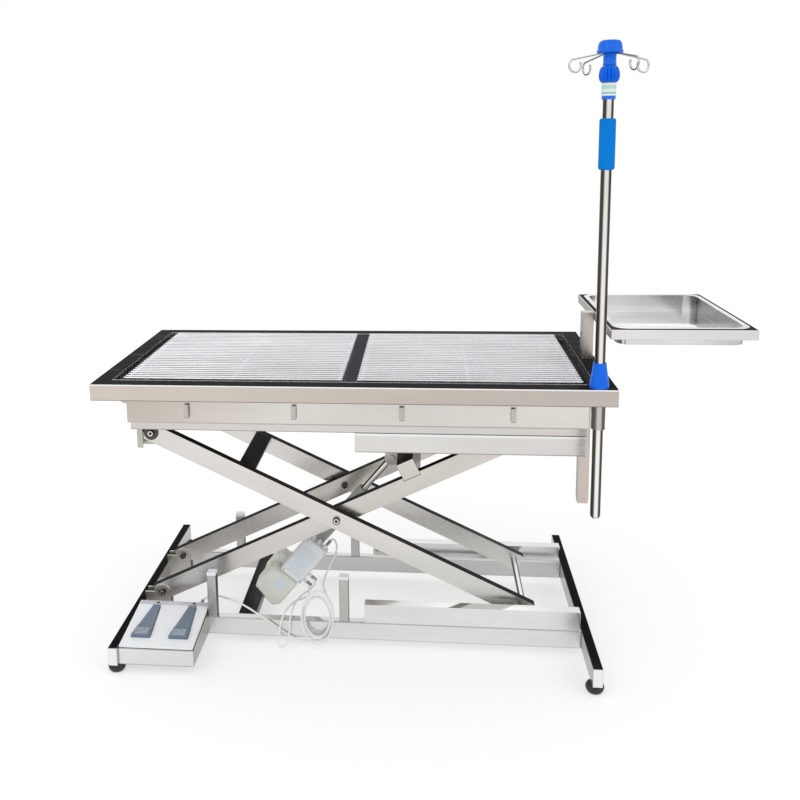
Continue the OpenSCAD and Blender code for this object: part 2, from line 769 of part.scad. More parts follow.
module actuator_tube() placed() color("whitesmoke") on_act() rotate([0, 90, 0]) difference() {
    translate([0, 0, gear_s1]) cylinder(r = act_tube_r, h = act_tube_end - gear_s1);
    translate([0, 0, bore_end]) cylinder(r = act_rod_r + fit, h = act_tube_end - bore_end + over);
}

// The lifting rod with a flat eye and its pin between the ears
module actuator_rod() placed() color("gainsboro") on_act() {
    rotate([0, 90, 0]) translate([0, 0, rod_inner_end]) cylinder(r = act_rod_r, h = act_l - rod_inner_end);
    translate([act_l, 0, 0]) {
        pin_y(rod_eye_r, -rod_half, rod_half);
        pin_y(rod_pin_r, -clevis_in + side_gap, clevis_in - side_gap);
    }
}

// The control box on its saddle, with plugs at its upper end and glands at its side
module control_box() placed() color("white") on_act() {
    translate([box_s0, 0, box_low]) {
        translate([0, box_y1 - box_d, 0]) round_box(box_l, box_d, box_w);
        translate([box_l / 2 - clamp_w, box_y1 - over, -box_low - clamp_w / 2])
            cube([2 * clamp_w, over - box_y1 - act_tube_r - side_gap, clamp_w]);
        for (share = plug_shares) translate([box_l - over, box_y1 - box_d / 2, share * box_w])
            rotate([0, 90, 0]) cylinder(r = plug_r, h = plug_l + over);
        for (share = gland_shares) translate([share * box_l, box_y1 - box_d / 2, -plug_l])
            cylinder(r = plug_r, h = plug_l + over);
    }
}

// A box with rounded long edges
module round_box(l, d, w) rotate([90, 0, 90]) round_plate(d, w, box_edge, l);
box_edge = 6;

// Tabletop

module ring_plate(x, y, hole_x, hole_y, z, h) difference() {
    translate([-x, -y, z]) cube([2 * x, 2 * y, h]);
    translate([-hole_x, -hole_y, z - over]) cube([2 * hole_x, 2 * hole_y, h + 2 * over]);
}

module table_frame() placed() color("silver") difference() {
    union() {
        ring_plate(table_l / 2, table_w / 2, table_l / 2 - sheet_t, table_w / 2 - sheet_t, apron_z, apron_h);
        ring_plate(table_l / 2, table_w / 2, rim_in_x - sheet_t, rim_in_y - sheet_t,
            table_h - sheet_t, sheet_t);
        ring_plate(rim_in_x, rim_in_y, rim_in_x - sheet_t, rim_in_y - sheet_t, ledge_z - sheet_t,
            ledge_drop + sheet_t + lip_h);
        ring_plate(rim_in_x, rim_in_y, rim_in_x - ledge_w, rim_in_y - ledge_w, ledge_z - sheet_t, sheet_t);
    }
    translate([pole_x, pole_y, apron_z]) cylinder(r = sleeve_r + weld_gap, h = apron_h + over);
    translate([post_x - post_w / 2 - weld_gap, -post_w / 2 - weld_gap, apron_z])
        cube([post_w + 2 * weld_gap, post_w + 2 * weld_gap, apron_h + over]);
}

// The middle bar between the grilles, a channel turned upside down on the ledges
module divider() placed() color("dimgray") translate([divider_x - divider_w / 2, 0, ledge_z]) difference() {
    translate([0, -rim_in_y + sheet_t + side_gap, 0])
        cube([divider_w, 2 * (rim_in_y - sheet_t - side_gap), ledge_drop - lip_h]);
    translate([sheet_t, -table_w, -over])
        cube([divider_w - 2 * sheet_t, 2 * table_w, ledge_drop - lip_h - sheet_t + over]);
}

grille_gap = 0.5;
grille_end = ledge_w / 2 - rod_r + sheet_t;
rod_pitch = (grille_y1 - grille_y0 - 2 * rod_r) / (rod_count - 1);

// Rods along X, carried by flat bars along Y that rest on the ledges
module grille(x0, x1) placed() color("gainsboro") {
    for (i = [0:rod_count - 1])
        translate([x0, grille_y0 + rod_r + i * rod_pitch, table_h - rod_r]) rotate([0, 90, 0])
            cylinder(r = rod_r, h = x1 - x0, $fn = 24);
    for (x = [x0 + 2 * rod_r, (x0 + x1) / 2 - rod_r, x1 - 4 * rod_r])
        translate([x, grille_y0, ledge_z]) cube([2 * rod_r, grille_y1 - grille_y0, ledge_drop - 1.5 * rod_r]);
}

module grille_left() grille(-rim_in_x + grille_end, divider_x - divider_w / 2 - grille_gap);

module grille_right() grille(divider_x + divider_w / 2 + grille_gap, rim_in_x - grille_end - 2 * rod_r);

basin_top = ledge_z - sheet_t;
wall_z0 = basin_z + sheet_t + weld_gap;
wall_z1 = basin_top - sheet_t - weld_gap;
flange_x = rim_in_x - ledge_w - sheet_t;
flange_y = rim_in_y - ledge_w / 2;

// The basin's outline seen from the front, with a curved flare at its left end
module basin_outline() polygon(concat(
    [[basin_x0, wall_z0], [basin_x1, wall_z0], [basin_x1, wall_z1], [basin_x0 - basin_flare, wall_z1]],
    [for (a = [0:15:90]) [
        basin_x0 - basin_flare * sin(90 - a),
        apron_z - basin_flare * sin(a) * flare_share]]));
flare_share = 0.8;

// The basin: a floor with its drain, four walls and a flange under the ledge, with seams between them
module basin() placed() color("silver") {
    difference() {
        translate([basin_x0, -basin_w / 2, basin_z]) cube([basin_x1 - basin_x0, basin_w, sheet_t]);
        translate([0, drain_y, basin_z - over])
            cylinder(r = drain_r + sheet_t + weld_gap, h = sheet_t + 2 * over);
    }
    translate([0, drain_y, basin_z - drain_l]) hollow(drain_r + sheet_t, drain_r, drain_l + sheet_t);
    both_sides() act_extrude(basin_w / 2 - sheet_t, basin_w / 2) basin_outline();
    act_extrude(-basin_w / 2 + sheet_t + weld_gap, basin_w / 2 - sheet_t - weld_gap) difference() {
        basin_outline();
        translate([sheet_t, 0]) basin_outline();
    }
    translate([basin_x1 - sheet_t, -basin_w / 2 + sheet_t + weld_gap, wall_z0])
        cube([sheet_t, basin_w - 2 * sheet_t - 2 * weld_gap, wall_z1 - wall_z0]);
    both_sides() translate([basin_x0 - basin_flare, flange_y, basin_top - sheet_t])
        cube([basin_x1 - basin_x0 + basin_flare, basin_w / 2 - flange_y, sheet_t]);
    translate([basin_x0 - basin_flare, -flange_y + weld_gap, basin_top - sheet_t])
        cube([-flange_x - basin_x0 + basin_flare, 2 * flange_y - 2 * weld_gap, sheet_t]);
    translate([flange_x, -flange_y + weld_gap, basin_top - sheet_t])
        cube([basin_x1 - flange_x, 2 * flange_y - 2 * weld_gap, sheet_t]);
}

tie_shares = [-0.628, -0.206, 0.208, 0.626];
tie_w = 12;
tie_up = 16;
tie_z = basin_z + tie_up;
tie_h = 35;
tie_out = 9;

// A bent strip with a foot on the basin wall and an open upper end
module tie_hooks() placed() color("gainsboro") both_sides() for (share = tie_shares)
    translate([0, basin_w / 2, tie_z]) side_extrude(share * table_l / 2 - tie_w / 2, tie_w) polygon([
        [0, 0], [0, tie_h - sheet_t], [sheet_t, tie_h - sheet_t], [sheet_t, sheet_t],
        [tie_out - sheet_t, 2 * sheet_t], [tie_out - sheet_t, tie_h], [tie_out, tie_h],
        [tie_out, sheet_t], [tie_out - sheet_t, 0]]);

module upper_rails() placed() color("silver")
    both_sides() translate([deck_x0, rail_in, deck_z]) cube([member_x - deck_x0, tube_w, tube_h]);

bearer_mid_x = -160;
bearer_places = [deck_x0, bearer_mid_x, member_x - tube_w];

module bearers() placed() color("gray") for (x = bearer_places)
    translate([x, -rail_in, bearer_z]) cube([tube_w, 2 * rail_in, bearer_h]);

module upper_tracks() placed() color("gainsboro") both_sides() track(high_track_x, deck_z - track_h);

bracket_plate_t = 6;
bracket_drop = 68;
bracket_side = 5;
bracket_out = outer_out + bracket_side;
bracket_flange = 16;
ear_l = 94;

// A folded plate under the left bearer with two ears for the outer arms' pivots
module table_ears() placed() color("silver") difference() {
    union() {
        translate([deck_x0, -bracket_out, deck_z - bracket_drop])
            cube([bracket_plate_t, 2 * bracket_out, bracket_drop + bearer_z - deck_z]);
        both_sides() {
            translate([deck_x0, bracket_out - washer_t, deck_z - bracket_drop])
                cube([bracket_flange, washer_t, bracket_drop]);
            translate([deck_x0, arm_out + side_gap, deck_z - bracket_drop])
                cube([ear_l, ear_t, bracket_drop]);
        }
    }
    translate([pivot_x, 0, high_pivot_z]) pin_y(pivot_r + fit, -table_w, table_w);
}

module table_pivot_bolts() placed() color("gray") both_sides() translate([pivot_x, 0, high_pivot_z]) {
    pin_y(pivot_r, arm_out + side_gap, outer_out + side_gap);
    pin_y(bolt_head_r, arm_out + side_gap - bolt_head_h, arm_out + side_gap);
    pin_y(washer_r, outer_out + side_gap, outer_out + side_gap + washer_t);
    translate([0, outer_out + side_gap + washer_t + bolt_head_h, 0]) rotate([90, 0, 0])
        cylinder(r = bolt_head_r, h = bolt_head_h, $fn = 6);
}

// Pole

module at_pole(z) translate([pole_x, pole_y, z]) children();

module hollow(r, bore, h) difference() {
    cylinder(r = r, h = h);
    translate([0, 0, -over]) cylinder(r = bore, h = h + 2 * over);
}

module pole_sleeve() placed() color("silver")
    at_pole(sleeve_z) hollow(sleeve_r, pole_r + fit, table_h - sleeve_z);

module pole_cone() placed() color("dodgerblue") difference() {
    at_pole(table_h) difference() {
        rotate_extrude() polygon([
            [0, 0], [cone_r0, 0], [cone_r0, washer_t],
            [cone_r1, cone_h - washer_t], [cone_r1, cone_h], [0, cone_h]]);
        translate([0, 0, -over]) cylinder(r = pole_r + fit, h = cone_h + 2 * over);
    }
    ring_plate(rim_in_x + side_gap, rim_in_y + side_gap, rim_in_x - ledge_w, rim_in_y - ledge_w,
        table_h - over, over + lip_h + side_gap);
}

module pole_tube() placed() color("silver") at_pole(0) difference() {
    union() {
        translate([0, 0, pole_z0 + pole_r]) cylinder(r = pole_r, h = pole_z1 - pole_z0 - pole_r);
        translate([0, 0, pole_z0 + pole_r]) sphere(r = pole_r);
    }
    translate([0, 0, mast_z0 - tube_h]) cylinder(r = mast_r + fit, h = pole_z1 - mast_z0 + tube_h + over);
}

grip_round = 5;

module pole_grip() placed() color("royalblue") at_pole(grip_z0) difference() {
    rotate_extrude() polygon(concat(
        [[0, 0]],
        [for (a = [0:30:90]) [grip_r - grip_round + grip_round * sin(a), grip_round * (1 - cos(a))]],
        [for (a = [0:30:90]) [
            grip_r - grip_round + grip_round * cos(a),
            grip_l - grip_round + grip_round * sin(a)]],
        [[0, grip_l]]));
    translate([0, 0, -over]) cylinder(r = pole_r + fit, h = grip_l + 2 * over);
}

// The blue ring and the white collar at the top of the outer tube
module pole_collar() placed() color("white") at_pole(ring_z) difference() {
    union() {
        cylinder(r = collar_band_r - over, h = ring_h + over);
        translate([0, 0, ring_h]) cylinder(r = collar_band_r, h = pole_z1 - ring_z - ring_h);
    }
    translate([0, 0, -over]) cylinder(r = pole_r + fit, h = pole_z1 - ring_z + 2 * over);
}

knob_grooves = 16;

// The ribbed locking knob, shaped like a tulip
module twist_knob() placed() color("royalblue") at_pole(knob_z) difference() {
    rotate_extrude() polygon([
        [0, 0], [knob_r * knob_shares[0], 0], [knob_r * knob_shares[1], knob_h * knob_shares[3]],
        [knob_r, knob_h * knob_shares[4]], [knob_r, knob_h * knob_shares[5]],
        [knob_r * knob_shares[2], knob_h], [0, knob_h]]);
    translate([0, 0, -over]) cylinder(r = mast_r + fit, h = knob_h + 2 * over);
    for (i = [0:knob_grooves - 1]) rotate(360 * i / knob_grooves) translate([knob_r + rod_r / 2, 0, -over])
        cylinder(r = rod_r, h = knob_h + 2 * over, $fn = 24);
}
knob_shares = [0.7, 0.86, 0.6, 0.3, 0.55, 0.8];

module mast_rod() placed() color("gainsboro") at_pole(0) {
    translate([0, 0, mast_z0]) cylinder(r = mast_r, h = neck_z - mast_z0 + over);
    translate([0, 0, neck_z]) cylinder(r = neck_r, h = neck_h);
    translate([0, 0, neck_z + neck_h - over]) cylinder(r = stub_r, h = stub_l + over);
}

// The head that carries the hooks, with a flange below a domed cap
module hook_head() placed() color("royalblue") at_pole(head_z) difference() {
    rotate_extrude() polygon([
        [0, 0], [head_r, 0], [head_r, head_flange_h - washer_t], [head_r * head_shares[0], head_flange_h],
        [head_r * head_shares[1], head_h * head_shares[3]], [head_r * head_shares[2], head_h], [0, head_h]]);
    translate([0, 0, -over]) cylinder(r = stub_r + fit, h = stub_l + over + fit);
    for (i = [0:3]) rotate(hook_turn + 90 * i) translate([0, 0, 0.5 * head_flange_h])
        rotate([0, 90 + hook_tilt, 0]) translate([0, 0, neck_r])
            cylinder(r = wire_r + fit, h = head_r);
}
head_shares = [0.84, 0.76, 0.5, 0.6];

hook_tilt = atan((hook_drop - hook_bend_r * sin(hook_open)) / (hook_mid_r + hook_bend_r * cos(hook_open)));
hook_slope_l = norm([hook_drop - hook_bend_r * sin(hook_open), hook_mid_r + hook_bend_r * cos(hook_open)]);

// Four wire hooks: a straight run out of the head, then a bend that opens upwards, with a bead at each end
module pole_hooks() placed() color("lightgray") at_pole(hook_z) for (i = [0:3]) rotate(hook_turn + 90 * i) {
    rotate([0, 90 + hook_tilt, 0]) translate([0, 0, neck_r + over])
        cylinder(r = wire_r, h = hook_slope_l - neck_r - over);
    translate([hook_mid_r, 0, -hook_drop]) {
        rotate([90, 0, 0]) rotate(hook_open - hook_sweep)
            rotate_extrude(angle = hook_sweep) translate([hook_bend_r, 0]) circle(wire_r);
        for (a = [hook_open, hook_open - hook_sweep])
            translate([hook_bend_r * cos(a), 0, hook_bend_r * sin(a)]) sphere(wire_r * bead_share);
    }
}

// Tray

module post_box(z0, h, grow) translate([post_x - post_w / 2 - grow, -post_w / 2 - grow, z0])
    cube([post_w + 2 * grow, post_w + 2 * grow, h]);

module tray_sleeve() placed() color("silver") difference() {
    union() {
        post_box(post_sleeve_z, table_h - sheet_t - post_sleeve_z, post_sleeve_t);
        translate([member_x, -post_w / 2, bearer_z])
            cube([post_x - post_w / 2 - member_x, post_w, bearer_h]);
    }
    post_box(post_sleeve_z - over, table_h, fit);
}

module tray_post() placed() color("silver") {
    post_box(post_z0 + post_cap_h, tray_z - washer_t - post_z0 - post_cap_h, 0);
    post_box(post_z0, post_cap_h + over, -over);
}

// The frame of square tubes on the side of the post
module tray_frame() placed() color("silver")
    translate([tray_x0, -tray_w / 2, tray_z - tray_frame_h]) difference() {
        cube([tray_l, tray_w, tray_frame_h]);
        translate([tray_frame_t, tray_frame_t, -over])
            cube([tray_l - 2 * tray_frame_t, tray_w - 2 * tray_frame_t, tray_frame_h + 2 * over]);
    }

// The pan hangs in the frame by its turned lip
module tray_pan() placed() color("lightgray")
    translate([tray_x0 + tray_frame_t + pan_gap, -tray_w / 2 + tray_frame_t + pan_gap, tray_z - pan_depth]) {
        pan_l = tray_l - 2 * tray_frame_t - 2 * pan_gap;
        pan_w = tray_w - 2 * tray_frame_t - 2 * pan_gap;
        difference() {
            union() {
                round_plate(pan_l, pan_w, pan_corner, pan_depth + over);
                translate([-pan_lip, -pan_lip, pan_depth])
                    round_plate(pan_l + 2 * pan_lip, pan_w + 2 * pan_lip, pan_corner, pan_t);
            }
            translate([pan_t, pan_t, pan_t])
                round_plate(pan_l - 2 * pan_t, pan_w - 2 * pan_t, pan_corner - pan_t, pan_depth + over);
        }
    }

base_left_member();
base_right_member();
base_mid_member();
base_rails();
lower_tracks();
base_ears();
base_pivot_bolts();
stop_posts();
stop_caps();
feet();
actuator_bracket();
switch_tray();
switch_housing();
pedal_left();
pedal_right();
cord_gland();
switch_cord();
cord_coil();
control_lead();
motor_lead();
inner_arms();
inner_cross_tube();
rod_ears();
centre_bolts();
upper_axle();
roller_upper_front();
roller_upper_back();
outer_arms();
outer_cross_tube();
lower_axle();
roller_lower_front();
roller_lower_back();
actuator_housing();
actuator_tube();
actuator_rod();
control_box();
table_frame();
divider();
grille_left();
grille_right();
basin();
tie_hooks();
upper_rails();
bearers();
upper_tracks();
table_ears();
table_pivot_bolts();
pole_sleeve();
pole_cone();
pole_tube();
pole_grip();
pole_collar();
twist_knob();
mast_rod();
hook_head();
pole_hooks();
tray_post();
tray_frame();
tray_pan();
tray_sleeve();
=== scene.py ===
"""Looks of the veterinary exam table: finishes for its solids, moulded pieces, cords and the studio."""

import json
import math

import bpy
from mathutils import Matrix, Vector

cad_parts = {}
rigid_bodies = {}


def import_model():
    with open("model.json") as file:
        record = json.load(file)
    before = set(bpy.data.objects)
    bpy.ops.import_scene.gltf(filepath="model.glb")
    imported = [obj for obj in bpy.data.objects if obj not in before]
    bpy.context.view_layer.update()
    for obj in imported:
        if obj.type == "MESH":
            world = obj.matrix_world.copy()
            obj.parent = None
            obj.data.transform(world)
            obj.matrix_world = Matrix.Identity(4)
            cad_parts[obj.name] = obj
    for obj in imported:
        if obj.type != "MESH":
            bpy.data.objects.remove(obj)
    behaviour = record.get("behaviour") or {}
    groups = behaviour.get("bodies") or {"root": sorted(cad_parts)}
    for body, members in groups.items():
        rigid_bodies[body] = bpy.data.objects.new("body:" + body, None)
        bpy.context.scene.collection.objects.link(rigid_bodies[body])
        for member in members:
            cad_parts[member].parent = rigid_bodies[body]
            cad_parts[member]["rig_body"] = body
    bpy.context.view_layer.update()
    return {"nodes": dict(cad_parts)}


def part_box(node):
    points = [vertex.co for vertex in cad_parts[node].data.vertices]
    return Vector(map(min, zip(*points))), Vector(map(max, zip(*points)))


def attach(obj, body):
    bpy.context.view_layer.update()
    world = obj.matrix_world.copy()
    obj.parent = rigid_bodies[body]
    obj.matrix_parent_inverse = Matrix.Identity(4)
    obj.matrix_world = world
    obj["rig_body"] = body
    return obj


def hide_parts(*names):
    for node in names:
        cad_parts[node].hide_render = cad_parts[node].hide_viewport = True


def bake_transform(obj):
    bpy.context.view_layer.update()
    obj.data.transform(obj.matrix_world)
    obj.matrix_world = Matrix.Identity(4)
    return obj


bl_info = {
    "name": "Veterinary Exam Table",
    "version": (1, 0, 0),
    "blender": (4, 5, 0),
    "location": "View3D > Sidebar > Exam Table",
    "description": "Finishes, moulded pieces, cords and studio for a lifting veterinary exam table",
    "category": "Object",
}

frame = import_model()
NODES = frame["nodes"]

# The table's own frame, in which the cords and small pieces are placed, lies here in the part's frame
TABLE_X = -0.1685
TABLE_Y = 0.007949


def at(x, y, z):
    """A point of the table's own frame, given in millimetres, in the part's frame in metres."""
    return Vector((x / 1000 + TABLE_X, y / 1000 + TABLE_Y, z / 1000))


def mm(*values):
    """Lengths given in millimetres, in metres."""
    return tuple(v / 1000 for v in values)


def grey(level):
    return (level, level, level)


# Sizes and colours that a user would change


def tone(name, words, default):
    return bpy.props.FloatVectorProperty(
        name=name, description=words, subtype="COLOR", size=3, min=0, max=1, default=default
    )


def length(name, words, default):
    return bpy.props.FloatProperty(
        name=name, description=words, unit="LENGTH", subtype="DISTANCE", min=0, default=default
    )


class ExamTableSteel(bpy.types.PropertyGroup):
    """Finish of the stainless sheet and tubes, with the painted dark reflection of their upper faces"""

    sheet: tone("Sheet", "Colour of brushed sheet seen from the front", (0.66, 0.6, 0.54))
    # The near-black of the upper faces is a painted reflection of dark surroundings, not the steel's own
    # colour
    polished: tone("Polished", "Colour of the polished upper faces", (0.01, 0.01, 0.011))
    tube_round: length("Tube corner", "Corner radius of the frame tubes", 0.0022)
    fold_round: length("Fold", "Radius of a fold in the sheet", 0.0022)
    grain: bpy.props.FloatProperty(
        name="Grain", description="Depth of the brushed grain", min=0, max=1, default=0.35
    )


class ExamTablePlastic(bpy.types.PropertyGroup):
    """Colours of the moulded pieces"""

    blue: tone("Blue", "Blue fittings of the pole", (0.0, 0.14, 0.8))
    foam: tone("Foam", "Foam grip of the pole", (0.0, 0.2, 0.68))
    white: tone("White", "White housings", (0.9, 0.92, 0.94))
    cream: tone("Cream", "Motor housing", (0.88, 0.89, 0.82))
    pedal: tone("Pedal", "Pedals of the foot switch", (0.16, 0.21, 0.28))
    rubber: tone("Rubber", "Rubber feet", (0.012, 0.012, 0.014))


class ExamTableCords(bpy.types.PropertyGroup):
    """The white cords of the lift"""

    diameter: length("Diameter", "Thickness of the cords", 0.005)
    jacket: tone("Jacket", "Colour of the cords", (0.88, 0.88, 0.87))


# Nodes of a material

# The sockets of a colour mix
MIX_FROM = 6
MIX_TO = 7
MIX_RESULT = 2


def start_finish(name, colour, roughness, metallic=0.0, **sockets):
    """A new material with its shader, and the tree to build on."""
    made = bpy.data.materials.new(name)
    made.use_nodes = True
    tree = made.node_tree
    shader = tree.nodes["Principled BSDF"]
    shader.inputs["Base Color"].default_value = (*colour, 1)
    shader.inputs["Roughness"].default_value = roughness
    shader.inputs["Metallic"].default_value = metallic
    for socket, value in sockets.items():
        shader.inputs[socket.replace("_", " ")].default_value = value
    return made, tree, shader


def end_finish(tree, shader, colour, roughness, relief, strength, depth):
    """Feeds the shader its colour, its roughness and a bump of some depth in metres."""
    bump = put(tree, "ShaderNodeBump", {"Strength": strength, "Distance": depth, "Height": relief})
    tree.links.new(colour, shader.inputs["Base Color"])
    tree.links.new(roughness, shader.inputs["Roughness"])
    tree.links.new(bump.outputs[0], shader.inputs["Normal"])


def put(tree, kind, inputs=None, **settings):
    """One node with its settings, fed by values or by other nodes' sockets."""
    node = tree.nodes.new(kind)
    for key, value in settings.items():
        setattr(node, key, value)
    for key, value in (inputs or {}).items():
        if isinstance(value, bpy.types.NodeSocket):
            tree.links.new(value, node.inputs[key])
        else:
            node.inputs[key].default_value = value
    return node


def maths(tree, operation, a, b=0.0):
    return put(tree, "ShaderNodeMath", {0: a, 1: b}, operation=operation).outputs[0]


def split(tree, vector):
    """The parts of a vector, by axis."""
    return put(tree, "ShaderNodeSeparateXYZ", {"Vector": vector}).outputs


def ramp(tree, value, low, high, to_low=0.0, to_high=1.0, kind="SMOOTHSTEP"):
    """A smooth rise from 0 at one value to 1 at the other."""
    span = {"Value": value, "From Min": low, "From Max": high, "To Min": to_low, "To Max": to_high}
    return put(tree, "ShaderNodeMapRange", span, interpolation_type=kind).outputs[0]


def rescale(tree, value, low, high, to_low, to_high):
    """A value carried from one range to another along a straight line."""
    return ramp(tree, value, low, high, to_low, to_high, "LINEAR")


def opaque(colour):
    return colour if isinstance(colour, bpy.types.NodeSocket) else (*colour, 1)


def blend_colours(tree, share, a, b):
    inputs = {"Factor": share, MIX_FROM: opaque(a), MIX_TO: opaque(b)}
    return put(tree, "ShaderNodeMix", inputs, data_type="RGBA").outputs[MIX_RESULT]


def shade(tree, colour, share):
    """A colour darkened or lightened all over by a number."""
    node = put(tree, "ShaderNodeVectorMath", {0: colour}, operation="SCALE")
    tree.links.new(share, node.inputs["Scale"])
    return node.outputs[0]


def streaks(tree, coords, stretch, detail, seed=0.0, tilt=0.0):
    """Noise drawn out along a piece, in strokes to the metre along each axis."""
    if tilt:
        turn = {"Vector": coords, "Rotation": (0, math.radians(tilt), 0)}
        coords = put(tree, "ShaderNodeMapping", turn).outputs[0]
    start = (seed, seed * 1.7, seed * 0.6)
    placed = put(tree, "ShaderNodeMapping", {"Vector": coords, "Location": start, "Scale": stretch})
    noise = {"Vector": placed.outputs[0], "Scale": 1.0, "Detail": detail, "Roughness": 0.55}
    return put(tree, "ShaderNodeTexNoise", noise).outputs["Fac"]


def along(axis, length_wise, across):
    return tuple(length_wise if a == axis else across for a in "XYZ")


# Finishes

# How far a steel face looks one way where its painted tone of light and shade starts to change and where it
# has changed
UPPER_FACE = (0.8, 0.875)
LOWER_FACE = (0.5, 0.8)
SIDE_FACE = (0.55, 0.8)
END_FACE = (0.8, 0.95)
FOLD = (0.12, 0.4)

# The part of a noise that is used
NOISE = (0.3, 0.7)
WIDE_NOISE = (0.25, 0.75)

# The height over which a line on steel and a band on plastic start
LINE_BLUR = 0.0006
BAND_BLUR = 0.0002

# Noises on steel, in strokes to the metre along its grain and across it
STROKES = (4.0, 900.0)
CLOUDS = (2.6, 9.0)
GLOSS = (1.6, 22.0)
SCRATCHES = (3.0, 500.0)
TUBE_CLOUDS = (4.0, 7.0)

# Depths of the finest relief, in metres
GRAIN_DEPTH = 0.00002
SCRATCH_DEPTH = 0.00003
BAND_DEPTH = 0.00005
PEBBLE_DEPTH = 0.00008


def stainless(name, front, top, side, under=None, edge=grey(0.97), end=None, grain="X", tilt=0.0,
              roughness=0.26, tones=None, patches=0.1, mirror=0.1, lines=()):
    """Brushed stainless steel, with a painted tone of light and shade for each way that a face looks, and
    painted highlights on its folds.

    tones is an axis, two places on it between which the front changes its tone, and the tone it changes to:
    a painted gradient of light and shade.
    lines are level bands of painted highlight and painted shade, each with its lower edge, its upper edge
    and its tone.
    patches is how far the tone wanders along the piece, and mirror how metallic the upper faces are.
    """
    # Downward faces take a painted shade, half the front's tone unless one is given
    under = under or tuple(0.5 * c for c in front)
    made, tree, shader = start_finish(name, front, roughness, 1.0, Specular_IOR_Level=0.0)
    coords = put(tree, "ShaderNodeTexCoord").outputs
    place = coords["Object"]
    facing = split(tree, coords["Normal"])
    up = facing["Z"]
    sideways = maths(tree, "ABSOLUTE", facing["X"])
    strokes = streaks(tree, place, along(grain, *STROKES), detail=2.0, tilt=tilt)
    cloud = streaks(tree, place, along(grain, *CLOUDS), detail=2.0, seed=3.1, tilt=tilt)
    # Sideways faces take their own painted tone of light and shade
    colour = blend_colours(tree, ramp(tree, sideways, *SIDE_FACE), front, side)
    # A painted gradient of light and shade along the front
    if tones:
        axis, start, stop, other = tones
        change = ramp(tree, split(tree, place)[axis], start, stop)
        on_front = ramp(tree, sideways, *reversed(SIDE_FACE))
        colour = blend_colours(tree, maths(tree, "MULTIPLY", change, on_front), colour, other)
    # Level bands of painted highlight and painted shade
    for low, high, tint in lines:
        height = split(tree, place)["Z"]
        above = ramp(tree, height, low - LINE_BLUR, low + LINE_BLUR)
        below = ramp(tree, height, high + LINE_BLUR, high - LINE_BLUR)
        colour = blend_colours(tree, maths(tree, "MULTIPLY", above, below), colour, tint)
    # Faces that look to the front take a painted highlight where an end tone is given
    if end:
        toward = maths(tree, "MULTIPLY", facing["Y"], -1.0)
        colour = blend_colours(tree, ramp(tree, toward, *END_FACE), colour, end)
    # Downward faces are darkened with the painted shade
    down = maths(tree, "MULTIPLY", up, -1.0)
    colour = blend_colours(tree, ramp(tree, down, *LOWER_FACE), colour, under)
    # Folds between front and top take a painted tone, a highlight unless one is given
    colour = blend_colours(tree, ramp(tree, up, *FOLD), colour, edge)
    # Upper faces take a near-black painted reflection, streaked with painted sheen and glints
    on_top = ramp(tree, up, *UPPER_FACE)
    gloss = streaks(tree, place, along(grain, *GLOSS), detail=2.0, seed=8.4, tilt=tilt)
    sheen = ramp(tree, gloss, 0.52, 0.8)
    glint = tuple(min(1, 3 * c + 0.02) for c in top)
    colour = blend_colours(tree, on_top, colour, blend_colours(tree, sheen, top, glint))
    fine = rescale(tree, strokes, *NOISE, 0.97, 1.01)
    slow = rescale(tree, cloud, *WIDE_NOISE, -patches, patches * 0.4)
    colour = shade(tree, colour, maths(tree, "ADD", fine, slow))
    tree.links.new(rescale(tree, on_top, 0.0, 1.0, 1.0, mirror), shader.inputs["Metallic"])
    matt = rescale(tree, strokes, *NOISE, roughness - 0.04, roughness + 0.06)
    matt = maths(tree, "MULTIPLY", matt, rescale(tree, on_top, 0.0, 1.0, 1.0, 0.35))
    relief = bpy.context.scene.exam_steel.grain
    end_finish(tree, shader, colour, matt, strokes, relief, GRAIN_DEPTH)
    return made


def turned_steel(name, dark, light, roughness=0.14, axis="Z", bands=(0.18, 0.55, 0.9), low=None):
    """Polished round rod or tube, with the long dark and bright bands of such a tube painted in as
    reflections.

    bands are where the dark band starts, is dark and ends, from the rod's middle line to its outline.
    low is a height and the tone of painted shade below it.
    """
    made, tree, shader = start_finish(name, light, roughness, 1.0)
    coords = put(tree, "ShaderNodeTexCoord").outputs
    place = coords["Object"]
    facing = split(tree, coords["Normal"])["X" if axis == "Z" else "Z"]
    # The dark band and the bright rest of the rod are painted reflections
    across = maths(tree, "ABSOLUTE", maths(tree, "ADD", facing, 0.06))
    start, dark_from, dark_to = bands
    shadow = maths(tree, "MULTIPLY", ramp(tree, across, start, dark_from), ramp(tree, across, 1.0, dark_to))
    colour = blend_colours(tree, shadow, light, dark)
    # Below the height, a painted shade
    if low:
        height, under = low
        above = ramp(tree, split(tree, place)["Z"], height, height + LINE_BLUR)
        colour = blend_colours(tree, above, under, colour)
    scratches = streaks(tree, place, along(axis, *SCRATCHES), detail=2.0)
    cloud = streaks(tree, place, along(axis, *TUBE_CLOUDS), detail=2.0, seed=6.2)
    slow = rescale(tree, cloud, *NOISE, -0.1, 0.03)
    fine = rescale(tree, scratches, *NOISE, 0.95, 1.02)
    colour = shade(tree, colour, maths(tree, "ADD", slow, fine))
    matt = rescale(tree, scratches, *NOISE, roughness * 0.7, roughness * 1.5)
    end_finish(tree, shader, colour, matt, scratches, 0.2, SCRATCH_DEPTH)
    return made


